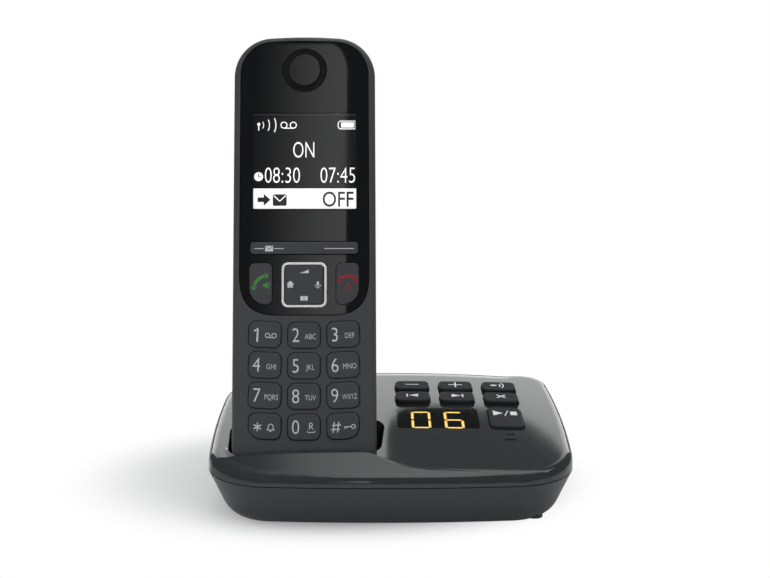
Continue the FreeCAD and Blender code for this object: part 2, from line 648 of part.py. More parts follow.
def handset_outline(inset, top_inset):
    """Front view with sharp corners: slightly tapered, with a bulging top."""
    half_low = HANDSET_WIDTH / 2 - inset
    half_high = HANDSET_WIDTH / 2 - HANDSET_TAPER - inset
    top = HANDSET_HEIGHT - top_inset
    corners = [Vector(-half_low, inset, 0), Vector(half_low, inset, 0),
               Vector(half_high, top - TOP_BULGE, 0), Vector(-half_high, top - TOP_BULGE, 0)]
    edges = [Part.makeLine(corners[0], corners[1]), Part.makeLine(corners[1], corners[2]),
             Part.Arc(corners[2], Vector(0, top, 0), corners[3]).toShape(),
             Part.makeLine(corners[3], corners[0])]
    return Part.Face(Part.Wire(edges))


def upright_edges(body, above):
    """Corner edges that run along Z, at the top or at the bottom of the outline."""
    found = []
    for edge in body.Edges:
        box = edge.BoundBox
        if box.ZLength > 10 and box.XLength < 0.01 and (box.YMin > 80) == above:
            found.append(edge)
    return found


def handset_block(inset, top_inset, low, high):
    """The front view extruded, with its four corners rounded."""
    body = prism(handset_outline(inset, top_inset), low, high)
    body = body.makeFillet(BOTTOM_CORNER - inset, upright_edges(body, False))
    return body.makeFillet(TOP_CORNER - inset, upright_edges(body, True))


def handset_solid(inset):
    """Front view cut to the side profile, rounded small at the front edge and large at the back."""
    body = handset_block(inset, inset, -40, 5)
    points = [Vector(-40, y, inset - depth) for y, depth in BACK_PROFILE]
    start = Vector(-40, points[0].y - 6, points[0].z)
    end = Vector(-40, points[-1].y + 6, points[-1].z)
    front_end = Vector(-40, end.y, -inset)
    front_start = Vector(-40, start.y, -inset)
    outline = [smooth_curve(points), Part.makeLine(points[-1], end), Part.makeLine(end, front_end),
               Part.makeLine(front_end, front_start), Part.makeLine(front_start, start),
               Part.makeLine(start, points[0])]
    profile = Part.Face(Part.Wire(outline)).extrude(Vector(80, 0, 0))
    body = body.common(profile)
    front_edge = face_towards(body, Vector(0, 0, 1)).OuterWire.Edges
    body = body.makeFillet(FRONT_ROUNDING - min(inset, 1.0), front_edge)
    return body.makeFillet(BACK_ROUNDING - inset, face_towards(body, Vector(0, 0, -1)).OuterWire.Edges)


def panel_block(grow, low, high):
    """Gloss panel: follows the handset's outline, and its lower end is a U around the call keys."""
    taper = HANDSET_TAPER * PANEL_SHOULDER / HANDSET_HEIGHT
    half = HANDSET_WIDTH / 2 - taper - PANEL_SIDE_RIM + grow
    bottom = PANEL_BOTTOM - grow
    left = Vector(-half, PANEL_SHOULDER, 0)
    foot = Vector(-9.0, bottom, 0)
    curve = Part.BezierCurve()
    curve.setPoles([left, Vector(-half, bottom + 2.6, 0), Vector(-half + 5.5, bottom, 0), foot])
    mirrored = Part.BezierCurve()
    mirrored.setPoles([Vector(-pole.x, pole.y, 0) for pole in reversed(curve.getPoles())])
    room = [Vector(half, PANEL_SHOULDER, 0), Vector(40, PANEL_SHOULDER, 0), Vector(40, 180, 0),
            Vector(-40, 180, 0), Vector(-40, PANEL_SHOULDER, 0), left]
    edges = [curve.toShape(), Part.makeLine(foot, Vector(-foot.x, foot.y, 0)), mirrored.toShape()]
    edges += [Part.makeLine(room[i], room[i + 1]) for i in range(5)]
    u_shape = prism(Part.Face(Part.Wire(edges)), low, high)
    plate = handset_block(PANEL_SIDE_RIM - grow, PANEL_TOP_RIM - grow, -6, 6)
    return plate.common(u_shape)


def number_key_faces(grow):
    """Outlines of the twelve number keys; the outer columns follow the smile of the rows."""
    faces = {}
    width, height = KEY_SIZE
    for row, names in enumerate(KEY_NAMES):
        for column, name in zip((-1, 0, 1), names):
            radii = [KEY_CORNER + grow] * 4
            if name == "key_star":
                radii[0] = 4.6 + grow
            if name == "key_hash":
                radii[1] = 4.6 + grow
            face = rounded_rect(width + 2 * grow, height + 2 * grow, radii)
            turn = math.degrees(math.asin(KEY_COLUMN / SMILE_RADIUS)) * column
            face.rotate(Vector(0, 0, 0), Vector(0, 0, 1), turn)
            lift = abs(column) * KEY_COLUMN ** 2 / (2 * SMILE_RADIUS)
            face.translate(Vector(column * KEY_COLUMN, KEY_ROWS[row] + lift, 0))
            faces[name] = face
    return faces


def call_key_face(side, grow):
    """Outline of the talk key (side -1) or the end key (side 1), with a large outer lower corner."""
    x, y, width, height = CALL_KEY
    radii = [1.9 + grow] * 4
    radii[0 if side < 0 else 1] = 5.7 + grow
    return rounded_rect(width + 2 * grow, height + 2 * grow, radii, (side * x, y))


def display_key_face(grow):
    x, y, width, height = DISPLAY_KEY
    return rounded_rect(width + 2 * grow, height + 2 * grow, 1.2 + grow, (x, y))


def nav_face(size, radius):
    return rounded_rect(size, size, radius, (0.0, NAV_CENTRE))


def handset_front_shell():
    outer = handset_solid(0.0)
    inner = handset_solid(HANDSET_WALL)
    front_half = block(-60, 60, -10, 170, -SPLIT_DEPTH, 10)
    wall = outer.cut(inner).common(front_half)
    room = handset_solid(HANDSET_WALL - 0.3)
    extras = []
    board = HANDSET_BOARD_DEPTH
    for y in (19.0, 48.5, 85.5, 106.0, 131.0):
        for side in (-1, 1):
            x0, x1 = sorted((side * 20.6, side * 23.4))
            extras.append(block(x0, x1, y - 0.6, y + 0.6, -board, -1.0).common(room))
    ring = disc(0, EARPIECE_HEIGHT, 8.4, -4.6, -1.0).cut(disc(0, EARPIECE_HEIGHT, 7.1, -6, 0))
    extras.append(ring)
    extras += [disc(x, y, 1.6, -SPLIT_DEPTH, -1.0) for x, y in SCREW_PLACES]
    mic_ring = disc(0, MICROPHONE_HEIGHT, 4.2, -4.6, -1.0).cut(disc(0, MICROPHONE_HEIGHT, 3.3, -6, 0))
    extras.append(mic_ring.common(room))
    body = wall.multiFuse(extras)
    tools = [panel_block(0.1, -PANEL_DEPTH, 5)]
    x, y, width, height = DISPLAY
    tools.append(prism(rounded_rect(width - 1.2, height - 1.2, 0.8, (x, y)), -3, 5))
    tools.append(disc(0, EARPIECE_HEIGHT, EARPIECE_CAP_RADIUS - 0.6, -3, 5))
    tools.append(prism(display_key_face(SLIDE_GAP), -3, 5))
    tools += [prism(call_key_face(side, 0.25), -3, 5) for side in (-1, 1)]
    tools.append(prism(nav_face(NAV_OUTER - 2 * NAV_RING, 1.6), -3, 5))
    tools += [prism(face, -3, 5) for face in number_key_faces(0.25).values()]
    tools.append(disc(0, MICROPHONE_HEIGHT, 0.6, -3, 5))
    tools += [disc(x, y, 0.95, -SPLIT_DEPTH - 1, -2.0) for x, y in SCREW_PLACES]
    for x in CONTACT_PLACES:
        half = CONTACT_HALF_WIDTH + SLIDE_GAP
        tools.append(block(x - half, x + half, -1, 2.6, -7.6, -3.9))
    return placed(cut_all(body, tools), FACE_FRAME)


def handset_front_panel():
    plate = panel_block(0.0, -PANEL_DEPTH, 0.05)
    plate = plate.makeChamfer(0.22, face_towards(plate, Vector(0, 0, 1)).OuterWire.Edges)
    x, y, width, height = DISPLAY
    earpiece = Vector(0, EARPIECE_HEIGHT, -0.25)
    tools = [prism(rounded_rect(width + 2 * DISPLAY_GAP, height + 2 * DISPLAY_GAP, 0.8, (x, y)), -3, 3),
             disc(0, EARPIECE_HEIGHT, EARPIECE_RADIUS, -0.6, 3),
             Part.makeCone(EARPIECE_RADIUS, EARPIECE_RADIUS + 0.3, 0.3, earpiece),
             disc(0, EARPIECE_HEIGHT, EARPIECE_CAP_RADIUS + 0.05, -3, 3),
             prism(display_key_face(SLIDE_GAP), -3, 3),
             prism(nav_face(NAV_OUTER + 0.1, 2.2), -3, 3)]
    tools += [prism(call_key_face(side, 0.2), -3, 3) for side in (-1, 1)]
    return placed(cut_all(plate, tools), FACE_FRAME)


def display_lens():
    x, y, width, height = DISPLAY
    return placed(prism(rounded_rect(width, height, 0.7, (x, y)), -PANEL_DEPTH, 0.05), FACE_FRAME)


def display_module():
    """Glass on a light-guide frame that stands on the board."""
    x, y, width, height = DISPLAY
    glass = prism(rounded_rect(width + 1.4, height + 1.4, 0.4, (x, y)), -3.2, -HANDSET_WALL - 0.15)
    guide = prism(rounded_rect(width + 2.6, height + 4.4, 0.8, (x, y - 0.5)), -HANDSET_BOARD_DEPTH, -3.1)
    return placed(fused([glass, guide]), FACE_FRAME)


def earpiece_cap():
    """Smooth cap that stands a little proud; the sound comes out of the ring-shaped gap around it."""
    cap = disc(0, EARPIECE_HEIGHT, EARPIECE_CAP_RADIUS, -0.85, 0.3)
    return placed(with_soft_top(cap, 0.25), FACE_FRAME)


def earpiece_receiver():
    case = disc(0, EARPIECE_HEIGHT, 6.8, -5.0, -2.0)
    magnet = disc(0, EARPIECE_HEIGHT, 4.2, -6.0, -4.9)
    return placed(fused([case, magnet]), FACE_FRAME)


def key_with_flange(cap_face, flange_face, rise, soften):
    """Handset key: cap above the face and a flange under the housing wall."""
    cap = with_soft_top(prism(cap_face, -KEY_DEPTH, rise), soften)
    flange = prism(flange_face, -KEY_DEPTH, -HANDSET_WALL - FLANGE_GAP)
    return placed(fused([cap, flange]), FACE_FRAME)


def display_key_bar():
    """Two-way rocker: pivots on the narrow flange at its middle."""
    bar = with_soft_top(prism(display_key_face(0.0), -2.4, KEY_RISE), 0.4)
    x, y, width, height = DISPLAY_KEY
    flange = prism(rounded_rect(6.0, height + 1.2, 0.5, (x, y)), -2.8, -HANDSET_WALL - 0.2)
    return placed(fused([bar, flange]), FACE_FRAME)


def nav_bezel():
    """Bright square ring around the navigation key."""
    ring = prism(nav_face(NAV_OUTER, 2.2), -PANEL_DEPTH, 0.5)
    ring = with_soft_top(ring, 0.35)
    return placed(ring.cut(prism(nav_face(NAV_OUTER - 2 * NAV_RING, 1.6), -3, 3)), FACE_FRAME)


def nav_key():
    """Four-way key: a domed square pad with a skirt under the housing wall."""
    size = NAV_OUTER - 2 * NAV_RING - 2 * 0.28
    pad = with_soft_top(prism(nav_face(size, 1.4), -2.6, 0.9), 0.6)
    return placed(pad, FACE_FRAME)


def nav_pivot():
    """Gimbal block between the navigation key and the rubber mat."""
    return placed(prism(rounded_rect(4.4, 4.4, 0.8, (0, NAV_CENTRE)), -4.4, -2.8), FACE_FRAME)


def handset_circuit_board():
    low = -HANDSET_BOARD_DEPTH - HANDSET_BOARD_THICKNESS
    face = rounded_rect(43.4, 122.0, [9.0, 9.0, 3.0, 3.0], (0, 73.5))
    board = prism(face, low, -HANDSET_BOARD_DEPTH)
    chips = [prism(rounded_rect(12, 12, 0.4, (0, 30)), low - 1.2, low + 0.1),
             prism(rounded_rect(18, 10, 0.4, (0, 112)), low - 1.4, low + 0.1)]
    holes = [disc(x, y, 2.0, -12, 0) for x, y in SCREW_PLACES]
    return placed(cut_all(fused([board] + chips), holes), FACE_FRAME)


def handset_key_mat():
    """Rubber mat on the board, with a pad under every key."""
    web = prism(rounded_rect(40.0, 69.5, 3.0, (0, 51.2)), -HANDSET_BOARD_DEPTH, -HANDSET_BOARD_DEPTH + 1.0)
    pads = [prism(face, -HANDSET_BOARD_DEPTH, -MAT_DEPTH) for face in number_key_faces(-1.0).values()]
    pads += [prism(call_key_face(side, -1.0), -HANDSET_BOARD_DEPTH, -MAT_DEPTH) for side in (-1, 1)]
    for x in (-14.0, 14.0):
        pads.append(prism(rounded_rect(7.0, 3.0, 0.8, (x, 83.0)), -HANDSET_BOARD_DEPTH, -MAT_DEPTH))
    pads.append(prism(rounded_rect(6.0, 6.0, 0.8, (0, NAV_CENTRE)), -HANDSET_BOARD_DEPTH, -4.6))
    holes = [disc(x, y, 2.0, -12, 0) for x, y in SCREW_PLACES]
    return placed(cut_all(fused([web] + pads), holes), FACE_FRAME)


def cover_prism(grow):
    x, y, width, height = COVER
    face = rounded_rect(width + 2 * grow, height + 2 * grow, 4.0 + grow, (x, y))
    return prism(face, -40, -14)


def handset_rear_shell():
    outer = handset_solid(0.0)
    inner = handset_solid(HANDSET_WALL)
    back_half = block(-60, 60, -10, 170, -40, -SPLIT_DEPTH)
    wall = outer.cut(inner).common(back_half).cut(cover_prism(COVER_GAP))
    shelf_top = handset_solid(COVER_THICKNESS + COVER_GAP)
    shelf_low = handset_solid(COVER_THICKNESS + COVER_GAP + 1.2)
    shelf = shelf_top.cut(shelf_low).common(cover_prism(1.6))
    x, y, width, height = BAY
    bay_outer = prism(rounded_rect(width + 2.4, height + 2.4, 1.5, (x, y)), -40, -BAY_FLOOR_DEPTH + 1.2)
    bay_outer = bay_outer.common(shelf_top)
    extras = [shelf, bay_outer]
    for sx, sy in SCREW_PLACES:
        extras.append(disc(sx, sy, 2.7, -40, -SPLIT_DEPTH).common(shelf_top))
    rx, ry, radius = RINGER
    ring = disc(rx, ry, radius + 1.4, -40, -18.5).cut(disc(rx, ry, radius + 0.3, -50, 0))
    extras.append(ring.common(handset_solid(HANDSET_WALL - 0.4)))
    body = wall.multiFuse(extras)
    tools = [prism(rounded_rect(width, height, 0.8, (x, y)), -40, -BAY_FLOOR_DEPTH)]
    for sx, sy in SCREW_PLACES:
        tools.append(disc(sx, sy, 2.1, -40, -19.4))
        tools.append(disc(sx, sy, 1.15, -40, 0))
    for step in range(-2, 3):
        length = 12.0 - abs(step) * 2.4
        slot = rounded_rect(length, 1.1, 0.5, (rx, ry + step * 2.6))
        tools.append(prism(slot, -40, -20.5))
    at_split = block(-60, 60, -10, 170, -SPLIT_DEPTH - SEAM, -SPLIT_DEPTH + 1)
    tools.append(outer.cut(handset_solid(SEAM)).common(at_split))
    return placed(cut_all(body, tools), FACE_FRAME)


def battery_cover():
    outer = handset_solid(0.0)
    inner = handset_solid(COVER_THICKNESS)
    body = outer.cut(inner).common(cover_prism(0.0))
    grips = []
    for step in range(5):
        grips.append(prism(rounded_rect(9.0 - step, 0.8, 0.39, (0, 52.0 + 2.2 * step)), -40, -20))
    ridge = handset_solid(0.4)
    cut = Part.makeCompound(grips).cut(ridge)
    return placed(body.cut(cut), FACE_FRAME)


def battery_cells():
    """Two cylindrical cells side by side, one turned round; each has its raised pole."""
    cells = []
    for side in (-1, 1):
        x = side * (CELL_RADIUS + 0.3)
        place = Vector(x, CELL_BOTTOM, -CELL_DEPTH)
        can = Part.makeCylinder(CELL_RADIUS, CELL_LENGTH - 1.0, place, Vector(0, 1, 0))
        pole = Part.makeCylinder(1.9, 1.1, place + Vector(0, CELL_LENGTH - 1.1, 0), Vector(0, 1, 0))
        cell = fused([can, pole])
        if side > 0:
            centre = Vector(x, CELL_BOTTOM + CELL_LENGTH / 2, -CELL_DEPTH)
            cell.rotate(centre, Vector(1, 0, 0), 180)
        cells.append(cell)
    return placed(Part.makeCompound(cells), FACE_FRAME)


def battery_contacts():
    """Plates at both ends of the bay, with a nub that reaches each cell."""
    x, y, width, height = BAY
    plates = []
    for end, low, sign in ((y - height / 2 + 0.15, CELL_BOTTOM, 1), (y + height / 2 - 0.15, 0, -1)):
        cell_end = CELL_BOTTOM if sign > 0 else CELL_BOTTOM + CELL_LENGTH
        for side in (-1, 1):
            cx = side * (CELL_RADIUS + 0.3)
            y0, y1 = sorted((end, end + sign * 0.5))
            plate = block(cx - 4.2, cx + 4.2, y0, y1, -CELL_DEPTH - 4.4, -BAY_FLOOR_DEPTH - 0.2)
            length = abs(cell_end - end) - SEAT_GAP
            nub = Part.makeCone(3.0, 1.8, length, Vector(cx, end, -CELL_DEPTH), Vector(0, sign, 0))
            plates.append(fused([plate, nub]))
    return placed(Part.makeCompound(plates), FACE_FRAME)


def handset_charging_contacts():
    """Two angled plates in the foot of the handset, with a leg up to the board."""
    strips = []
    for x in CONTACT_PLACES:
        left, right = x - CONTACT_HALF_WIDTH, x + CONTACT_HALF_WIDTH
        foot = block(left, right, 0.1, 0.6, -7.3, -4.2)
        leg = block(left, right, 0.1, 15.5, -6.1, -5.6)
        strips.append(fused([foot, leg]))
    return placed(Part.makeCompound(strips), FACE_FRAME)


def handset_microphone():
    return placed(disc(0, MICROPHONE_HEIGHT, 3.1, -4.5, -2.0), FACE_FRAME)


def handset_screws():
    """Screws under the battery cover; the heads face the back."""
    screws = []
    for x, y in SCREW_PLACES:
        screws.append(screw(x, y, -21.0, -19.6, -3.0, 1.9, 0.85))
    return placed(Part.makeCompound(screws), FACE_FRAME)


def ringer_speaker():
    x, y, radius = RINGER
    case = disc(x, y, radius, -21.9, -19.2)
    magnet = disc(x, y, 6.0, -19.3, -17.6)
    return placed(fused([case, magnet]), FACE_FRAME)


def handset_antenna():
    """Folded strip at the upper end of the board."""
    low = -HANDSET_BOARD_DEPTH - HANDSET_BOARD_THICKNESS
    foot = block(-10, 10, 127.0, 132.0, low - 0.42, low - 0.02)
    upright = block(-10, 10, 131.6, 132.0, low - 4.0, low - 0.02)
    roof = block(-10, 10, 127.5, 132.0, low - 4.4, low - 4.0)
    return placed(fused([foot, upright, roof]), FACE_FRAME)


# All nodes

def base_nodes():
    nodes = {
        "base_upper_shell": base_upper_shell(),
        "base_lower_shell": base_lower_shell(),
        "base_feet": base_feet(),
        "base_screws": base_screws(),
        "base_circuit_board": base_circuit_board(),
        "base_key_mat": base_key_mat(),
        "base_display_window": base_display_window(),
        "led_display": led_display(),
        "base_charging_contacts": base_charging_contacts(),
        "base_speaker": base_speaker(),
        "base_antennas": base_antennas(),
    }
    for key in BASE_KEYS:
        nodes[key[0]] = base_key(key)
    for name, x in JACKS:
        nodes[name] = jack(x)
    return nodes


def handset_nodes():
    nodes = {
        "handset_front_shell": handset_front_shell(),
        "handset_front_panel": handset_front_panel(),
        "display_lens": display_lens(),
        "display_module": display_module(),
        "earpiece_cap": earpiece_cap(),
        "earpiece_receiver": earpiece_receiver(),
        "display_key_bar": display_key_bar(),
        "nav_bezel": nav_bezel(),
        "nav_key": nav_key(),
        "nav_pivot": nav_pivot(),
        "handset_circuit_board": handset_circuit_board(),
        "handset_key_mat": handset_key_mat(),
        "handset_rear_shell": handset_rear_shell(),
        "battery_cover": battery_cover(),
        "battery_cells": battery_cells(),
        "battery_contacts": battery_contacts(),
        "handset_charging_contacts": handset_charging_contacts(),
        "handset_microphone": handset_microphone(),
        "handset_screws": handset_screws(),
        "ringer_speaker": ringer_speaker(),
        "handset_antenna": handset_antenna(),
    }
    caps = number_key_faces(0.0)
    flanges = number_key_faces(FLANGE_WIDTH)
    for name in caps:
        nodes[name] = key_with_flange(caps[name], flanges[name], KEY_RISE, 0.45)
    for name, side in (("key_talk", -1), ("key_end", 1)):
        cap, flange = call_key_face(side, 0.0), call_key_face(side, FLANGE_WIDTH)
        nodes[name] = key_with_flange(cap, flange, KEY_RISE, 0.4)
    return nodes


os.makedirs("parts", exist_ok=True)
for nodes in (base_nodes(), handset_nodes()):
    for name, shape in nodes.items():
        print(name, shape.isValid(), len(shape.Solids), round(shape.Volume, 1))
        shape.exportStep(os.path.join("parts", name + ".step"))
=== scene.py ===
import math

import bmesh
import bpy
from mathutils import Matrix, Vector


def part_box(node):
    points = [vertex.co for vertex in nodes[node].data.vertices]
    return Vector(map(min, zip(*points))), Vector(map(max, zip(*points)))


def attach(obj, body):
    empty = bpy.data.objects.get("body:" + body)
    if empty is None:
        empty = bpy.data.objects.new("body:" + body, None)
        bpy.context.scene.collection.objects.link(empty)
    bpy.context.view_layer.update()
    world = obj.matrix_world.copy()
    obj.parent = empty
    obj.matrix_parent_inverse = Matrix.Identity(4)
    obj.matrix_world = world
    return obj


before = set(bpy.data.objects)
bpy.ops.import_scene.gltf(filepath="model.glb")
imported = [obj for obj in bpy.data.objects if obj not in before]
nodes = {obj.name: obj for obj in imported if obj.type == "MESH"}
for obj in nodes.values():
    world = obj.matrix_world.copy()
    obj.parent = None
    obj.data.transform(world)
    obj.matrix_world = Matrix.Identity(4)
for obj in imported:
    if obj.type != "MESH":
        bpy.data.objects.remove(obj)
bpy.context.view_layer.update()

# The camera stands a little over a third of a metre in front of the base, level with the top of the
# handset's display, and looks slightly down through a normal lens.
camera_place = Vector((-0.0050, -0.3766, 0.1380))
camera_pitch = math.radians(9.5)
camera_turn = math.radians(-0.485)
camera_data = bpy.data.cameras.new("camera")
camera_data.lens = 50.0
camera_data.sensor_width = 36.0
camera_data.clip_start = 0.01
camera = bpy.data.objects.new("camera", camera_data)
camera.location = camera_place
camera.rotation_euler = (math.pi / 2 - camera_pitch, 0.0, camera_turn)
bpy.context.scene.collection.objects.link(camera)
bpy.context.scene.camera = camera
bpy.context.scene.view_settings.view_transform = "Standard"


# The studio is a sweep of white paper in a dim grey room. The camera sees both as white, apart from
# the shade that the object throws on the paper near it; gloss mirrors the dim room.
class Value:
    """A node's output that takes part in sums; numbers may stand on either side."""

    def __init__(self, tree, socket=None):
        self.tree = tree
        self.socket = socket

    def node(self, kind, settings=None, inputs=None, output=0):
        made = self.tree.nodes.new("ShaderNode" + kind)
        for name, setting in (settings or {}).items():
            setattr(made, name, setting)
        for name, given in (inputs or {}).items():
            target = made.inputs[name]
            if isinstance(given, Value):
                self.tree.links.new(given.socket, target)
            else:
                target.default_value = given
        return Value(self.tree, made.outputs[output] if made.outputs else None)

    def sum_with(self, operation, first, second):
        return self.node("Math", {"operation": operation}, {0: first, 1: second})

    def __add__(self, other):
        return self.sum_with("ADD", self, other)

    def __sub__(self, other):
        return self.sum_with("SUBTRACT", self, other)

    def __mul__(self, other):
        return self.sum_with("MULTIPLY", self, other)

    def __radd__(self, other):
        return self.sum_with("ADD", other, self)

    def __rsub__(self, other):
        return self.sum_with("SUBTRACT", other, self)

    def __rmul__(self, other):
        return self.sum_with("MULTIPLY", other, self)

    def clipped(self):
        return self.node("Clamp", {}, {"Value": self})

    def smooth(self, low, high):
        return self.node("MapRange", {"interpolation_type": "SMOOTHSTEP"},
                         {"Value": self, "From Min": low, "From Max": high})


def emptied(owner):
    """Empty node tree of a material or a world, ready for new nodes."""
    owner.use_nodes = True
    owner.node_tree.nodes.clear()
    return Value(owner.node_tree)


def graded(factor, dark, light):
    """Colour that runs from dark to light as the factor runs from 0 to 1."""
    return factor.node("Mix", {"data_type": "RGBA"},
                       {"Factor": factor, "A": (*dark, 1.0), "B": (*light, 1.0)}, "Result")


def oblong(left, low, right, high):
    return [(left, low), (right, low), (right, high), (left, high)]


white = (1.0, 1.0, 1.0, 1.0)
room_below, room_above = (0.195, 0.20, 0.20), (0.122, 0.134, 0.137)
sky = bpy.data.worlds.new("sky")
bpy.context.scene.world = sky
v = emptied(sky)
height = v.node("SeparateXYZ", {}, {"Vector": v.node("TexCoord", output="Generated")}, "Z")
room = graded((height * 0.5 + 0.5).clipped(), room_below, room_above)
seen = v.node("LightPath", output="Is Camera Ray")
dim_room = v.node("Background", {}, {"Color": room, "Strength": 1.0})
backdrop = v.node("Background", {}, {"Color": white, "Strength": 1.0})
v.node("OutputWorld", {}, {"Surface": v.node("MixShader", {}, {0: seen, 1: dim_room, 2: backdrop})})

floor_half = 6.0
floor_mesh = bpy.data.meshes.new("floor")
floor_mesh.from_pydata([(x, y, 0) for x, y in oblong(-floor_half, -floor_half, floor_half, floor_half)], [],
                       [(0, 1, 2, 3)])
floor = bpy.data.objects.new("floor", floor_mesh)
bpy.context.scene.collection.objects.link(floor)
shade_squash, shade_shift = (0.72, 1.0, 1.0), (0.016, -0.018, 0.0)
shade_end, white_start = 0.042, 0.076
paper = bpy.data.materials.new("white_sweep")
v = emptied(paper)
footprint = v.node("VectorMath", {"operation": "MULTIPLY_ADD"},
                   {0: v.node("TexCoord", output="Object"), 1: shade_squash, 2: shade_shift}, "Vector")
distance = v.node("VectorMath", {"operation": "LENGTH"}, {0: footprint}, "Value")
seen = v.node("LightPath", output="Is Camera Ray")
matt = v.node("BsdfDiffuse", {}, {"Color": (0.86, 0.86, 0.86, 1.0)})
glow = v.node("Emission", {}, {"Color": white, "Strength": 1.0})
glow_share = seen * (0.18 + 0.82 * distance.smooth(shade_end, white_start))
v.node("OutputMaterial", {}, {"Surface": v.node("MixShader", {}, {0: glow_share, 1: matt, 2: glow})})
floor_mesh.materials.append(paper)


# Four soft boxes light the object evenly from above, from the front left and from both sides. They
# are cloth boxes on stands; neither the camera nor gloss sees them.
def soft_box(name, place, width, height, power):
    aim = Vector((0.0, 0.0, 0.06))
    lamp = bpy.data.lights.new(name, "AREA")
    lamp.shape = "RECTANGLE"
    lamp.size = width
    lamp.size_y = height
    lamp.energy = power
    stand = bpy.data.objects.new(name, lamp)
    stand.location = place
    stand.rotation_euler = (aim - Vector(place)).to_track_quat("-Z", "Y").to_euler()
    stand.visible_camera = False
    stand.visible_glossy = False
    bpy.context.scene.collection.objects.link(stand)


soft_box("lamp_over", (0.0, -0.1, 1.1), 1.2, 1.0, 7.0)
soft_box("lamp_front", (-0.5, -1.3, 0.9), 0.9, 0.9, 7.0)
soft_box("lamp_right", (1.0, -0.2, 0.6), 0.5, 0.8, 2.5)
soft_box("lamp_left", (-1.0, -0.1, 0.6), 0.5, 0.8, 2.5)


# Three cards of glowing cloth show only in reflections. The front one stands behind the camera and
# fades out leftwards, the rear one has a dark gap above the middle of the deck, and one is overhead.
def card(name, outlines, axis, dim_end, bright_end, strength):
    """Glowing sheet; its glow grows along one axis from nothing to its strength."""
    points, faces = [], []
    for outline in outlines:
        faces.append(tuple(range(len(points), len(points) + len(outline))))
        points += outline
    mesh = bpy.data.meshes.new(name)
    mesh.from_pydata(points, [], faces)
    sheet = bpy.data.objects.new(name, mesh)
    sheet.visible_camera = False
    sheet.visible_diffuse = False
    sheet.visible_shadow = False
    bpy.context.scene.collection.objects.link(sheet)
    material = bpy.data.materials.new(name + "_glow")
    v = emptied(material)
    along = v.node("SeparateXYZ", {}, {"Vector": v.node("TexCoord", output="Object")}, axis)
    glow = v.node("Emission", {}, {"Color": white, "Strength": along.smooth(dim_end, bright_end) * strength})
    clear = v.node("BsdfTransparent")
    v.node("OutputMaterial", {}, {"Surface": v.node("AddShader", {}, {0: glow, 1: clear})})
    mesh.materials.append(material)


front_y, rear_y, over_z = -1.5, 1.9, 1.5
left, right, low, high = -0.240, -0.0586, 0.20, 0.952
corner_wide, corner_high, corner_steps = 0.032, 0.060, 8
front_outline = [(left, low), (right, low)]
for step in range(corner_steps + 1):
    turn = math.radians(90.0 * step / corner_steps)
    front_outline.append((right + corner_wide * (math.cos(turn) - 1),
                          high + corner_high * (math.sin(turn) - 1)))
front_outline.append((left, high))
card("card_front", [[(x, front_y, z) for x, z in front_outline]], "X", left, right, 1.10)

side, foot, sill, lintel, top = 1.6, 0.4, 1.3, 1.9, 3.2
gap_edge = [(0.02, 1.60), (0.022, 1.51), (0.035, 1.475), (0.07, 1.445), (0.11, 1.435), (0.35, 1.425),
            (0.42, 1.432), (0.48, 1.462), (0.53, 1.498), (0.57, 1.54), (0.60, 1.60)]
gap_left, gap_right = gap_edge[0][0], gap_edge[-1][0]
rear_outlines = [oblong(-side, foot, side, sill), oblong(-side, sill, gap_left, lintel),
                 oblong(gap_right, sill, side, lintel),
                 [(gap_left, sill), (gap_right, sill)] + gap_edge[::-1],
                 oblong(-side, lintel, side, top)]
card("card_rear", [[(x, rear_y, z) for x, z in outline] for outline in rear_outlines], "Z", 2.6, 0.9, 2.8)
card("card_over", [[(x, y, over_z) for x, y in oblong(-0.22, -0.6, 1.4, 0.45)]], "X", -0.6, 0.1, 1.8)


# The upper housing is moulded in glossy anthracite plastic, with a faint orange peel and a slight
# haze of wiped-off dust. Its lip in front of the cradle is duller and shades as if it leant forward.
def noise(place, scale, detail=2.0):
    return place.node("TexNoise", {}, {"Vector": place, "Scale": scale, "Detail": detail})


def toned(colour, share):
    return [channel * share for channel in colour]


def moulded(name, colour, roughness, grain, depth, haze=0.05, reflect=1.5, mask=None, dulling=0.0, lean=0.0):
    """Moulded plastic: even colour, texture grain of a given size in metres, hazy in patches.

    Where its mask is 1, it is duller and its shading leans towards the front.
    """
    material = bpy.data.materials.new(name)
    v = emptied(material)
    place = v.node("TexCoord", output="Object")
    patches = noise(place, 38.0, 3.0)
    fine = noise(place, 1.0 / grain)
    shade = graded((patches * 0.6 + fine * 0.4).clipped(), toned(colour, 0.90), toned(colour, 1.10))
    uneven = (roughness + haze * (patches - 0.5)).clipped()
    relief = v.node("Bump", {}, {"Strength": 1.0, "Distance": depth, "Height": fine})
    if mask:
        masked = mask(place)
        uneven = uneven + dulling * masked
        if lean:
            forward = v.node("CombineXYZ", {}, {"Y": masked * -lean})
            leant = v.node("VectorMath", {"operation": "ADD"}, {0: relief, 1: forward}, "Vector")
            relief = v.node("VectorMath", {"operation": "NORMALIZE"}, {0: leant}, "Vector")
    surface = v.node("BsdfPrincipled", {}, {"Base Color": shade, "Roughness": uneven, "IOR": reflect,
                                            "Normal": relief})
    v.node("OutputMaterial", {}, {"Surface": surface})
    return material


def finish(material, *names):
    for name in names:
        nodes[name].data.materials.clear()
        nodes[name].data.materials.append(material)


def lip_mask(place):
    """1 on the lip in front of the cradle; right of the handset its rear edge bends to the front."""
    across = place.node("SeparateXYZ", {}, {"Vector": place}, "X")
    along = place.node("SeparateXYZ", {}, {"Vector": place}, "Y")
    rear_edge = -0.0305 - 0.0095 * across.smooth(-0.010, 0.012)
    before_edge = 1.0 - (along - rear_edge).smooth(-0.0010, 0.0004)
    behind_front = along.smooth(-0.0450, -0.0425)
    return before_edge * behind_front


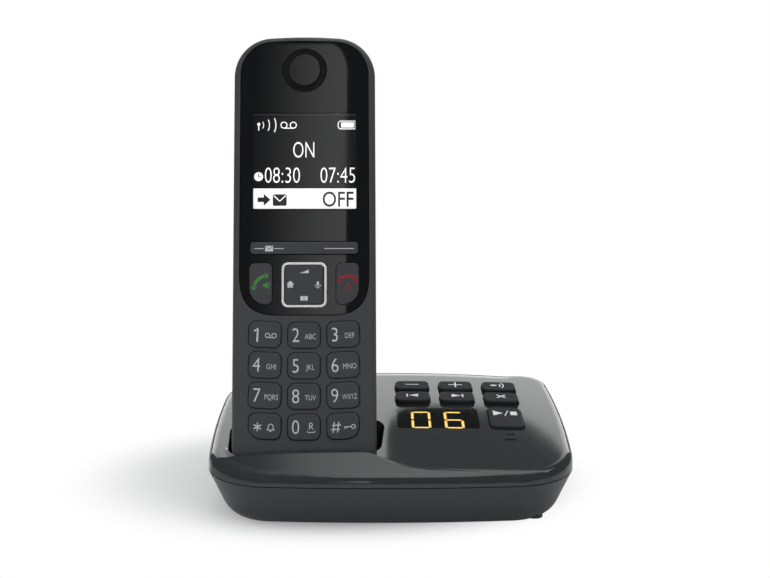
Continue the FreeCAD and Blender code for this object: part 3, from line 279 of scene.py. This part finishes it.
finish(moulded("deck_gloss", (0.023, 0.0268, 0.0268), 0.06, 0.0011, 0.0000012, 0.04, 1.55,
               mask=lip_mask, dulling=0.12, lean=0.36), "base_upper_shell")

# The lower housing is the same plastic with a fine satin texture. Four soft rubber pads carry it,
# and four blackened screws hold it to the upper housing.
finish(moulded("pan_satin", (0.019, 0.0225, 0.0235), 0.36, 0.00022, 0.000006, 0.08), "base_lower_shell")
finish(moulded("rubber_black", (0.018, 0.018, 0.018), 0.75, 0.0003, 0.00002, 0.1, 1.45), "base_feet")


def metal(name, colour, roughness, bare=1.0):
    """Metal with a fine grain; bare is below 1 where silver lacquer covers it."""
    grain, depth = 0.0002, 0.000002
    material = bpy.data.materials.new(name)
    v = emptied(material)
    place = v.node("TexCoord", output="Object")
    fine = noise(place, 1.0 / grain)
    broad = noise(place, 90.0)
    relief = v.node("Bump", {}, {"Strength": 1.0, "Distance": depth, "Height": fine})
    surface = v.node("BsdfPrincipled", {}, {"Base Color": graded(broad, toned(colour, 0.9), colour),
                                            "Metallic": bare, "Normal": relief,
                                            "Roughness": (roughness + 0.1 * (broad - 0.5)).clipped()})
    v.node("OutputMaterial", {}, {"Surface": surface})
    return material


finish(metal("screw_steel", (0.20, 0.20, 0.21), 0.4), "base_screws", "handset_screws")

# The deck keys are matt rubber-touch caps with rounded shoulders. Their signs are printed in white:
# minus, plus, paging, skip back, skip on, erase, and play with stop.
deck_keys = ["key_volume_down", "key_volume_up", "key_paging", "key_previous", "key_next", "key_delete",
             "key_play_stop"]
finish(moulded("deck_key_matt", (0.022, 0.0235, 0.025), 0.40, 0.0002, 0.000004, 0.08, 1.08), *deck_keys)


def ink(name, colour, glow=0.0):
    """Printed paint: slightly uneven, with a soft sheen; glow is painted light, an emission that makes a dark
    print brighter than its paint.
    """
    material = bpy.data.materials.new(name)
    v = emptied(material)
    speck = noise(v.node("TexCoord", output="Object"), 5000.0)
    shade = graded(speck, toned(colour, 0.85), colour)
    surface = v.node("BsdfPrincipled", {}, {"Base Color": shade, "Roughness": 0.45 + 0.1 * speck,
                                            "Emission Color": shade, "Emission Strength": glow})
    v.node("OutputMaterial", {}, {"Surface": surface})
    return material


def arc(x, y, radius, start, end, steps=12):
    turns = [math.radians(start + (end - start) * i / steps) for i in range(steps + 1)]
    return [(x + radius * math.cos(turn), y + radius * math.sin(turn)) for turn in turns]


def dot(x, y, radius, steps=14):
    return arc(x, y, radius, 0, 360, steps)[:-1]


def box_outline(x, y, width, height, radius=0.0):
    """Rectangle round a middle point, with rounded corners if a radius is given."""
    half_w, half_h = width / 2 - radius, height / 2 - radius
    if radius == 0.0:
        return oblong(x - half_w, y - half_h, x + half_w, y + half_h)
    points = []
    for turn, (side_x, side_y) in zip((180, 270, 0, 90), ((-1, -1), (1, -1), (1, 1), (-1, 1))):
        points += arc(x + side_x * half_w, y + side_y * half_h, radius, turn, turn + 90, 4)
    return points


def line(points, width):
    """Outline of an open stroke of even width along the points."""
    left, right = [], []
    for i, point in enumerate(points):
        before = Vector(points[max(i - 1, 0)])
        after = Vector(points[min(i + 1, len(points) - 1)])
        side = (after - before).normalized().orthogonal() * width / 2
        left.append(tuple(Vector(point) + side))
        right.append(tuple(Vector(point) - side))
    return left + right[::-1]


def set_down(name, mesh, where, material, body):
    """Make a mesh into a piece that lies where it should and moves with a body."""
    mesh.materials.clear()
    mesh.materials.append(material)
    piece = bpy.data.objects.new(name, mesh)
    piece.matrix_world = where
    bpy.context.scene.collection.objects.link(piece)
    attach(piece, body)


mm = 0.001


def printed(name, outlines, where, material, body):
    """Flat shapes in millimetres, printed on a surface that where puts in place."""
    mesh = bpy.data.meshes.new(name)
    shape = bmesh.new()
    for outline in outlines:
        corners = [shape.verts.new((x * mm, y * mm, 0.0)) for x, y in outline]
        bmesh.ops.triangulate(shape, faces=[shape.faces.new(corners)])
    bmesh.ops.recalc_face_normals(shape, faces=shape.faces)
    for face in shape.faces:
        if face.normal.z < 0:
            face.normal_flip()
    shape.to_mesh(mesh)
    shape.free()
    set_down(name, mesh, where, material, body)


deck_slope, deck_height, crown_radius = math.radians(10.4), 29.4, 1500.0
deck_frame = Matrix.Translation((0, 0, deck_height * mm)) @ Matrix.Rotation(deck_slope, 4, "X")


def on_deck(x, y, rise):
    """Frame level with the crowned deck at one point; x, y and the rise above the deck in millimetres."""
    drop = x * x / (2 * crown_radius)
    level = Matrix.Rotation(x / crown_radius, 4, "Y")
    return deck_frame @ Matrix.Translation((x * mm, y * mm, (rise - drop) * mm)) @ level


def key_middle(name, plane):
    """Middle of a key, in millimetres, in the frame of the surface that it stands on."""
    low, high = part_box(name)
    return plane.inverted() @ ((low + high) / 2) / mm


white_print = ink("white_print", (0.78, 0.79, 0.80))
deck_key_rise, play_key_rise, print_gap = 1.6, 0.8, 0.015
signs = {
    "key_volume_down": [box_outline(0, 0, 5.2, 0.5)],
    "key_volume_up": [box_outline(0, 0, 5.2, 0.5), box_outline(0, 1.2, 0.55, 1.9),
                      box_outline(0, -1.2, 0.55, 1.9)],
    "key_paging": [box_outline(-1.9, 0.0, 2.4, 1.1, 0.5), line(arc(-0.9, 0.0, 1.6, -50, 50), 0.42),
                   line(arc(-0.9, 0.0, 2.8, -50, 50), 0.42)],
    "key_previous": [box_outline(-2.1, 0, 0.6, 2.5), [(-1.6, 0), (2.0, -1.25), (2.0, 1.25)]],
    "key_next": [box_outline(2.1, 0, 0.6, 2.5), [(1.6, 0), (-2.0, 1.25), (-2.0, -1.25)]],
    "key_delete": [line([(-1.6, -1.2), (1.6, 1.2)], 0.6), line([(-1.6, 1.2), (1.6, -1.2)], 0.6)],
    "key_play_stop": [[(-4.3, 4.6), (-4.3, 0.6), (-0.7, 2.6)], line([(-0.2, 0.5), (1.3, 4.7)], 0.36),
                      box_outline(3.2, 2.6, 2.4, 2.8)],
}
for name, outlines in signs.items():
    spot = key_middle(name, deck_frame)
    rise = play_key_rise if name == "key_play_stop" else deck_key_rise
    printed("sign_" + name[4:], outlines, on_deck(spot.x, spot.y, rise + print_gap), white_print, name)


# The message counter sits behind a smoked acrylic window in the deck. Its two digits are amber
# seven-bar lamps in a black case; every bar is there, and the lit ones glow with a faint halo.
def glass(place, reflect, roughness, tint):
    """Thin clear plastic: its outer face mirrors, and the rest shows through tinted and straight."""
    outer = 1.0 - place.node("NewGeometry", output="Backfacing")
    mirrored = place.node("Fresnel", {}, {"IOR": reflect}) * outer
    polish = place.node("BsdfGlossy", {}, {"Color": white, "Roughness": roughness})
    clear = place.node("BsdfTransparent", {}, {"Color": (*tint, 1.0)})
    return place.node("MixShader", {}, {0: mirrored, 1: clear, 2: polish})


smoke = bpy.data.materials.new("window_smoke")
v = emptied(smoke)
place = v.node("TexCoord", output="Object")
smoked = glass(place, 1.3, 0.02 + 0.03 * noise(place, 60.0, 3.0), (0.38, 0.37, 0.36))
v.node("OutputMaterial", {}, {"Surface": smoked})
finish(smoke, "base_display_window")
finish(moulded("lamp_case", (0.003, 0.003, 0.003), 0.7, 0.0003, 0.000004), "led_display")


def lamp(name, colour, strength):
    """Lit surface with a glow that is slightly uneven, as through a diffuser."""
    material = bpy.data.materials.new(name)
    v = emptied(material)
    flicker = noise(v.node("TexCoord", output="Object"), 900.0, 1.0)
    shade = graded(flicker, toned(colour, 0.7), colour)
    surface = v.node("BsdfPrincipled", {}, {"Base Color": shade, "Roughness": 0.8, "IOR": 1.1,
                                            "Emission Color": shade, "Emission Strength": strength})
    v.node("OutputMaterial", {}, {"Surface": surface})
    return material


amber = lamp("amber_lamp", (1.0, 0.74, 0.22), 10.0)
halo = lamp("amber_halo", (1.0, 0.42, 0.04), 1.0)
unlit = moulded("unlit_bar", (0.02, 0.016, 0.010), 0.6, 0.0004, 0.000003)
digit_width, digit_height, bar, bar_corner = 6.9, 12.9, 0.85, 0.3
halo_spread, halo_corner, halo_behind = 0.35, 0.4, 0.02
window_x, window_y, digits_depth, digit_offset = 17.1, -4.2, -0.83, 5.95
half_w, half_h = (digit_width - bar) / 2, (digit_height - bar) / 2
wide, tall = digit_width - 2 * bar, digit_height / 2 - 1.3 * bar
bars = {"a": (0, half_h, wide, bar), "g": (0, 0, wide, bar), "d": (0, -half_h, wide, bar)}
for letter, side, row in (("b", 1, 1), ("c", 1, -1), ("e", -1, -1), ("f", -1, 1)):
    bars[letter] = (side * half_w, row * digit_height / 4, bar, tall)
for name, digit_side, lit in (("led_tens", -1, "abcdef"), ("led_units", 1, "acdefg")):
    aside = Matrix.Translation((digit_side * digit_offset * mm, 0, 0))
    where = on_deck(window_x, window_y, digits_depth) @ aside
    dark = [letter for letter in bars if letter not in lit]
    for group, letters, material in (("lit", lit, amber), ("dark", dark, unlit)):
        outlines = [box_outline(*bars[letter], bar_corner) for letter in letters]
        printed(name + "_" + group, outlines, where, material, "base")
    spread = [box_outline(x, y, width + halo_spread, height + halo_spread, halo_corner)
              for x, y, width, height in [bars[letter] for letter in lit]]
    where = on_deck(window_x, window_y, digits_depth - halo_behind) @ aside
    printed(name + "_halo", spread, where, halo, "base")

# Inside the base and the handset are green circuit boards, grey rubber key mats, small loudspeakers
# and a microphone, gold-plated charging contacts, and antennas and battery contacts of spring steel.
finish(moulded("board_green", (0.02, 0.13, 0.055), 0.32, 0.0006, 0.00001), "base_circuit_board",
       "handset_circuit_board")
finish(moulded("mat_rubber", (0.16, 0.16, 0.17), 0.7, 0.0004, 0.00001), "base_key_mat", "handset_key_mat",
       "nav_pivot")
finish(moulded("speaker_black", (0.02, 0.02, 0.02), 0.65, 0.0004, 0.00002), "base_speaker", "ringer_speaker",
       "earpiece_receiver", "handset_microphone")
finish(metal("contact_gold", (0.83, 0.60, 0.25), 0.25), "base_charging_contacts", "handset_charging_contacts")
finish(metal("spring_steel", (0.62, 0.62, 0.61), 0.3), "base_antennas", "handset_antenna", "battery_contacts")

# Two modular sockets of black plastic open to the rear of the base. Each has six gold wires that
# slope down from the roof of the socket to the back of the plug's place.
finish(moulded("socket_black", (0.02, 0.02, 0.022), 0.45, 0.0003, 0.000004), "power_jack", "line_jack")
wire_gold = metal("wire_gold", (0.86, 0.63, 0.26), 0.2)
wire_count, wire_pitch, wire_half, socket_roof = 6, 1.02, 0.16, 1.55
# Side view of a wire: its place from front to rear, and its height above the inside of the roof.
wire_side = [(36.5, -0.1), (36.5, -0.45), (28.5, -3.4), (28.2, -3.2), (35.6, -0.1)]
for socket in ("power_jack", "line_jack"):
    low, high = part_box(socket)
    middle_x, roof = (low.x + high.x) / 2 / mm, high.z / mm - socket_roof
    mesh = bpy.data.meshes.new(socket + "_wires")
    shape = bmesh.new()
    for step in range(wire_count):
        x = middle_x + (step - (wire_count - 1) / 2) * wire_pitch
        rows = [[shape.verts.new((flank * mm, y * mm, (roof + z) * mm)) for y, z in wire_side]
                for flank in (x - wire_half, x + wire_half)]
        for i in range(len(wire_side)):
            j = (i + 1) % len(wire_side)
            shape.faces.new((rows[0][i], rows[0][j], rows[1][j], rows[1][i]))
        shape.faces.new(rows[0])
        shape.faces.new(rows[1][::-1])
    bmesh.ops.recalc_face_normals(shape, faces=shape.faces)
    shape.to_mesh(mesh)
    shape.free()
    set_down(socket + "_wires", mesh, Matrix.Identity(4), wire_gold, "base")

# The handset's housing is dark grey plastic with a fine spark-eroded texture. The battery cover is
# of the same plastic and clips into the back.
finish(moulded("case_satin", (0.046, 0.047, 0.050), 0.40, 0.00018, 0.000006, 0.06), "handset_front_shell",
       "handset_rear_shell", "battery_cover")

# The front panel is a black gloss plate set into the housing. The cap of the earpiece stands in a
# round recess in it, whose floor is dull.
cap_low, cap_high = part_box("earpiece_cap")


def recess_mask(place):
    """1 on the ring round the cap of the earpiece."""
    off_cap = place.node("VectorMath", {"operation": "SUBTRACT"},
                         {0: place, 1: tuple((cap_low + cap_high) / 2)}, "Vector")
    away = place.node("VectorMath", {"operation": "LENGTH"}, {0: off_cap}, "Value")
    return away.smooth(0.0055, 0.0057) * (1.0 - away.smooth(0.0073, 0.0077))


panel_black = (0.002, 0.0022, 0.0024)
finish(moulded("panel_gloss", panel_black, 0.02, 0.004, 0.0000006, 0.02, mask=recess_mask, dulling=0.7),
       "handset_front_panel", "earpiece_cap")

# The display is a monochrome dot display under a clear lens whose border is printed black. It
# shows status signs, a state word, two times and a white bar with the soft key signs.
handset_lean = math.radians(12.2)
cradle = Vector((-0.0295, -0.0312, 0.01079))
face_frame = Matrix.Translation(cradle) @ Matrix.Rotation(math.pi / 2 - handset_lean, 4, "X")


def up_handset(place):
    """Distance in metres from the floor of the cradle, along the leaning handset."""
    from_cradle = place.node("VectorMath", {"operation": "SUBTRACT"}, {0: place, 1: tuple(cradle)}, "Vector")
    return place.node("VectorMath", {"operation": "DOT_PRODUCT"},
                      {0: from_cradle, 1: (0.0, math.sin(handset_lean), math.cos(handset_lean))}, "Value")


screen_width, screen_low, screen_high, edge_blur = 35.6, 95.9, 128.9, 0.05
screen_mid, screen_height = (screen_low + screen_high) / 2, screen_high - screen_low
lens = bpy.data.materials.new("lens_clear")
v = emptied(lens)
place = v.node("TexCoord", output="Object")
across_face = v.node("SeparateXYZ", {}, {"Vector": place}, "X") - cradle.x
up_screen = up_handset(place) - screen_mid * mm
inside = 1.0
for measure, size in ((across_face, screen_width), (up_screen, screen_height)):
    off_middle = v.node("Math", {"operation": "ABSOLUTE"}, {0: measure})
    inside = inside * (1.0 - off_middle.smooth((size / 2 - edge_blur) * mm, (size / 2 + edge_blur) * mm))
haze = noise(place, 50.0, 3.0)
clear = glass(place, 1.5, 0.03 + 0.02 * haze, (1.0, 1.0, 1.0))
border = v.node("BsdfPrincipled", {}, {"Base Color": (*panel_black, 1.0), "IOR": 1.5,
                                       "Roughness": 0.02 + 0.02 * haze})
v.node("OutputMaterial", {}, {"Surface": v.node("MixShader", {}, {0: inside, 1: border, 2: clear})})
finish(lens, "display_lens")
finish(moulded("lcd_glass", (0.03, 0.03, 0.032), 0.3, 0.001, 0.000001), "display_module")


def on_face(x, y, depth):
    """Place in the plane of the handset's front; x and y in millimetres, depth above the face."""
    return face_frame @ Matrix.Translation((x * mm, y * mm, depth * mm))


screen_depth, ground_rim = -1.90, 0.6
lit_grey = lamp("screen_grey", (0.0032, 0.0034, 0.0036), 1.0)
lit_white = lamp("screen_white", (0.80, 0.80, 0.80), 1.0)
dark_dots = moulded("screen_dark", (0.008, 0.008, 0.009), 0.5, 0.001, 0.000001)


def shown(name, outlines, rise, material):
    """Shapes on the display, a little above its ground."""
    printed(name, outlines, on_face(0, 0, screen_depth + rise), material, "handset")


ground = box_outline(0, screen_mid, screen_width + ground_rim, screen_height + ground_rim)
shown("screen_ground", [ground], 0.0, lit_grey)
bar_width, bar_low, bar_high = 35.4, 95.7, 103.3
word_bar = box_outline(0, (bar_low + bar_high) / 2, bar_width, bar_high - bar_low)
shown("screen_bar", [word_bar], 0.03, lit_white)
antenna_sign = [line([(-15.9, 123.4), (-15.9, 125.4)], 0.4), dot(-15.9, 125.6, 0.55)]
for radius, spread, width in ((2.0, 35, 0.28), (4.0, 28, 0.32), (6.2, 23, 0.36)):
    antenna_sign.append(line(arc(-16.2, 125.3, radius, -spread, spread), width))
tape_sign = [line([(-7.2, 124.25), (-4.0, 124.25)], 0.35)]
for x in (-7.2, -4.0):
    tape_sign += [line(arc(x, 125.3, 1.05, start, start + 180), 0.35) for start in (-90, 90)]
battery_sign = [line([(12.1, 126.7), (17.3, 126.7), (17.3, 124.0), (12.1, 124.0)], 0.35),
                line([(12.1, 124.0), (11.5, 124.6), (11.5, 126.1), (12.1, 126.7)], 0.35),
                box_outline(14.7, 125.35, 4.5, 1.8, 0.3)]
clock_sign = [dot(-15.9, 107.4, 1.55, 20)]
shown("screen_status", antenna_sign + tape_sign + battery_sign + clock_sign, 0.03, lit_white)
shown("screen_clock_hands", [line([(-15.9, 108.5), (-15.9, 107.4), (-15.0, 107.2)], 0.35)], 0.05, dark_dots)
arrow_sign = [box_outline(-15.1, 99.4, 2.2, 1.6), [(-14.1, 97.3), (-11.8, 99.4), (-14.1, 101.5)]]
envelope_sign = [box_outline(-8.6, 99.3, 4.8, 4.0, 0.6)]
shown("screen_bar_signs", arrow_sign + envelope_sign, 0.06, dark_dots)
shown("screen_bar_fold", [line([(-10.6, 100.8), (-8.6, 98.9), (-6.6, 100.8)], 0.42)], 0.07, lit_white)


def lettered(name, text, x, y, height, where, material, body, squeeze=1.0, weight=0.0):
    """Text of a given capital height in millimetres, as a flat mesh."""
    capital_share = 0.70
    curve = bpy.data.curves.new(name, "FONT")
    curve.body = text
    curve.size = height * mm / capital_share
    curve.align_x = "CENTER"
    curve.align_y = "CENTER"
    curve.offset = weight * mm
    curve.resolution_u = 4
    source = bpy.data.objects.new(name + "_source", curve)
    bpy.context.scene.collection.objects.link(source)
    mesh = bpy.data.meshes.new_from_object(source.evaluated_get(bpy.context.evaluated_depsgraph_get()))
    bpy.data.objects.remove(source)
    mesh.name = name
    spot = where @ Matrix.Translation((x * mm, y * mm, 0)) @ Matrix.Diagonal((squeeze, 1, 1, 1))
    set_down(name, mesh, spot, material, body)


for name, text, x, y, height, rise, material, squeeze, weight in (
        ("screen_state", "ON", -0.3, 116.4, 5.6, 0.03, lit_white, 0.62, -0.07),
        ("screen_time_left", "08:30", -7.7, 107.6, 5.5, 0.03, lit_white, 0.72, -0.08),
        ("screen_time_right", "07:45", 11.45, 107.6, 5.5, 0.03, lit_white, 0.72, -0.08),
        ("screen_bar_word", "OFF", 11.4, 99.3, 5.2, 0.05, dark_dots, 0.84, 0.07)):
    lettered(name, text, x, y, height, on_face(0, 0, screen_depth + rise), material, "handset",
             squeeze, weight)

# Handset keys are satin caps a little proud of the housing, with printed figures. The number keys
# have a large figure on the left and the usual small letters or a sign on the right.
satin_cap = moulded("handset_key_satin", (0.042, 0.043, 0.046), 0.34, 0.00025, 0.000004, 0.06)
number_keys = {"key_1": ("", ""), "key_2": ("2", "ABC"), "key_3": ("3", "DEF"), "key_4": ("4", "GHI"),
               "key_5": ("5", "JKL"), "key_6": ("6", "MNO"), "key_7": ("7", "PQRS"), "key_8": ("8", "TUV"),
               "key_9": ("9", "WXYZ"), "key_star": ("", ""), "key_0": ("0", ""), "key_hash": ("", "")}
finish(satin_cap, *number_keys)
figure_print = ink("figure_print", (0.62, 0.63, 0.64))
letter_print = ink("letter_print", (0.50, 0.51, 0.52))
one = [line([(-2.5, -2.35), (-2.5, 2.35)], 0.58), line([(-2.3, 2.2), (-3.7, 1.2)], 0.5)]
tape = [line([(0.9, -0.75), (3.1, -0.75)], 0.26)]
for x in (0.9, 3.1):
    tape += [line(arc(x, -0.05, 0.75, start, start + 180), 0.26) for start in (-90, 90)]
star = []
for turn in (math.pi / 2, math.pi / 6, -math.pi / 6):
    reach_x, reach_y = 1.45 * math.cos(turn), 1.45 * math.sin(turn)
    star.append(line([(-2.5 + reach_x, reach_y), (-2.5 - reach_x, -reach_y)], 0.38))
bell = [line([(0.9, -0.75)] + arc(2.0, 0.25, 0.85, 200, -20) + [(3.1, -0.75)], 0.26),
        line([(0.7, -0.85), (3.3, -0.85)], 0.26), box_outline(2.0, -1.25, 0.7, 0.35)]
recall = [line([(1.3, -0.9), (1.3, -1.5), (3.7, -1.5), (3.7, -0.9)], 0.26),
          line([(1.9, -0.5), (1.9, 1.6)], 0.28),
          line([(1.9, 1.6)] + arc(2.4, 1.1, 0.5, 90, -90) + [(1.9, 0.6)], 0.26),
          line([(2.4, 0.6), (3.1, -0.5)], 0.28)]
hash_bars, hash_posts = [], []
for side in (-1, 1):
    hash_bars.append(line([(-3.9 + side * 0.2, side * 0.7), (-0.9 + side * 0.2, side * 0.7)], 0.36))
    hash_posts.append(line([(-2.7 + side * 0.75, -1.8), (-2.1 + side * 0.75, 1.8)], 0.36))
lock_key = [line(arc(3.5, 0, 0.65, start, start + 180), 0.28) for start in (0, 180)]
lock_key += [line([(0.4, 0), (2.85, 0)], 0.28), line([(0.7, 0), (0.7, -0.6)], 0.28),
             line([(1.3, 0), (1.3, -0.45)], 0.28)]
key_signs = {"key_1": one + tape, "key_star": star + bell, "key_0": recall,
             "key_hash": hash_bars + hash_posts + lock_key}
cap_print = 0.62
column_pitch, column_tilt = 13.3, math.radians(2.67)
for name, (figure, letters) in number_keys.items():
    spot = key_middle(name, face_frame)
    tilt = Matrix.Rotation(column_tilt * round(spot.x / column_pitch), 4, "Z")
    top = on_face(spot.x, spot.y, cap_print) @ tilt
    if figure:
        lettered("figure_" + name[4:], figure, -2.8, 0.0, 4.8, top, figure_print, name,
                 0.84, -0.06)
    if letters:
        squeeze = 0.65 if letters == "WXYZ" else 0.78
        lettered("letters_" + name[4:], letters, 2.2, -0.3, 1.8, top, letter_print, name,
                 squeeze)
    if name in key_signs:
        printed("sign_" + name[4:], key_signs[name], top, figure_print, name)

# Talk and end keys are satin caps too, printed with a green and a red receiver. The long rocker above
# them has a thin line on each side, the left one with an envelope.
finish(satin_cap, "key_talk", "key_end", "display_key_bar")
# The green and red prints glow faintly with painted light, so that they look brighter than their paint.
talk_green_painted_glow = ink("talk_green_painted_glow", (0.055, 0.21, 0.05), 0.10)
end_red_painted_glow = ink("end_red_painted_glow", (0.25, 0.010, 0.028), 0.08)
receiver_up = [line(arc(2.6, -1.9, 4.95, 100, 170), 1.0), dot(-2.3, -1.0, 0.85), dot(1.8, 2.95, 0.85)]
loudspeaker = [[(0.8, -0.8), (0.8, 0.1), (1.5, 0.1), (2.4, 0.9), (2.4, -1.6), (1.5, -0.8)],
               box_outline(3.0, -0.35, 0.35, 1.8)]
receiver_down = [line(arc(0.0, -1.0, 3.9, 40, 140), 1.0), box_outline(-2.75, 1.2, 1.3, 1.3, 0.3),
                 box_outline(2.75, 1.2, 1.3, 1.3, 0.3)]
power_sign = [line(arc(0.0, -1.0, 0.9, 130, 410), 0.36), line([(0.0, 0.5), (0.0, -0.7)], 0.4)]
for name, outlines, material in (("key_talk", receiver_up + loudspeaker, talk_green_painted_glow),
                                 ("key_end", receiver_down + power_sign, end_red_painted_glow)):
    spot = key_middle(name, face_frame)
    printed("sign_" + name[4:], outlines, on_face(spot.x, spot.y, cap_print), material, name)
rocker_y = key_middle("display_key_bar", face_frame).y
rocker_sign = [line([(-17.0, 0.0), (-13.7, 0.0)], 0.25), line([(-10.2, 0.0), (-6.9, 0.0)], 0.25),
               line([(6.9, 0.0), (17.0, 0.0)], 0.25), box_outline(-11.95, 0.0, 2.7, 1.9, 0.15)]
printed("sign_rocker", rocker_sign, on_face(0, rocker_y, cap_print), figure_print, "display_key_bar")
printed("sign_rocker_fold", [line([(-13.0, 0.6), (-11.95, -0.25), (-10.9, 0.6)], 0.22)],
        on_face(0, rocker_y, cap_print + 0.02), satin_cap, "display_key_bar")

# The navigation key is a square pad in a ring of silver lacquer, with four small printed signs: volume
# wedge, house, microphone and open book.
finish(metal("nav_chrome", (0.93, 0.94, 0.95), 0.28, bare=0.35), "nav_bezel")
finish(satin_cap, "nav_key")
pad_print = 0.92
wedge = [[(-1.6, 4.0), (1.6, 4.0), (1.6, 5.2), (0.2, 4.6)]]
house = [[(-6.0, 0.2), (-4.7, 1.4), (-3.4, 0.2)],
         [(-5.6, 0.2), (-5.6, -1.0), (-5.0, -1.0), (-5.0, -0.3), (-4.4, -0.3), (-4.4, -1.0), (-3.8, -1.0),
          (-3.8, 0.2)]]
microphone = [box_outline(4.7, 0.4, 0.8, 1.5, 0.35), line(arc(4.7, 0.0, 0.9, 180, 360), 0.24),
              line([(4.7, -0.9), (4.7, -1.35)], 0.25)]
book = [box_outline(x, -4.6, 1.15, 1.5) for x in (-0.66, 0.66)]
printed("sign_nav", wedge + house + microphone + book,
        on_face(0, key_middle("nav_key", face_frame).y, pad_print), figure_print, "nav_key")

# Two cells lie in the battery bay behind the cover, held by its contacts. Each is a steel can in a
# printed green sleeve that leaves its ends bare.
sleeve_dark, sleeve_light, can_steel = (0.03, 0.16, 0.10), (0.04, 0.22, 0.13), (0.6, 0.6, 0.6, 1.0)
cell = bpy.data.materials.new("cell_sleeve")
v = emptied(cell)
place = v.node("TexCoord", output="Object")
up_cell = up_handset(place)
scuff = noise(place, 300.0, 3.0)
bare_ends = (1.0 - up_cell.smooth(0.0560, 0.0562)) + up_cell.smooth(0.0982, 0.0984)
shade = v.node("Mix", {"data_type": "RGBA"},
               {"Factor": bare_ends, "A": graded(scuff, sleeve_dark, sleeve_light), "B": can_steel}, "Result")
surface = v.node("BsdfPrincipled", {}, {"Base Color": shade, "Metallic": bare_ends,
                                        "Roughness": 0.3 + 0.1 * scuff})
v.node("OutputMaterial", {}, {"Surface": surface})
finish(cell, "battery_cells")
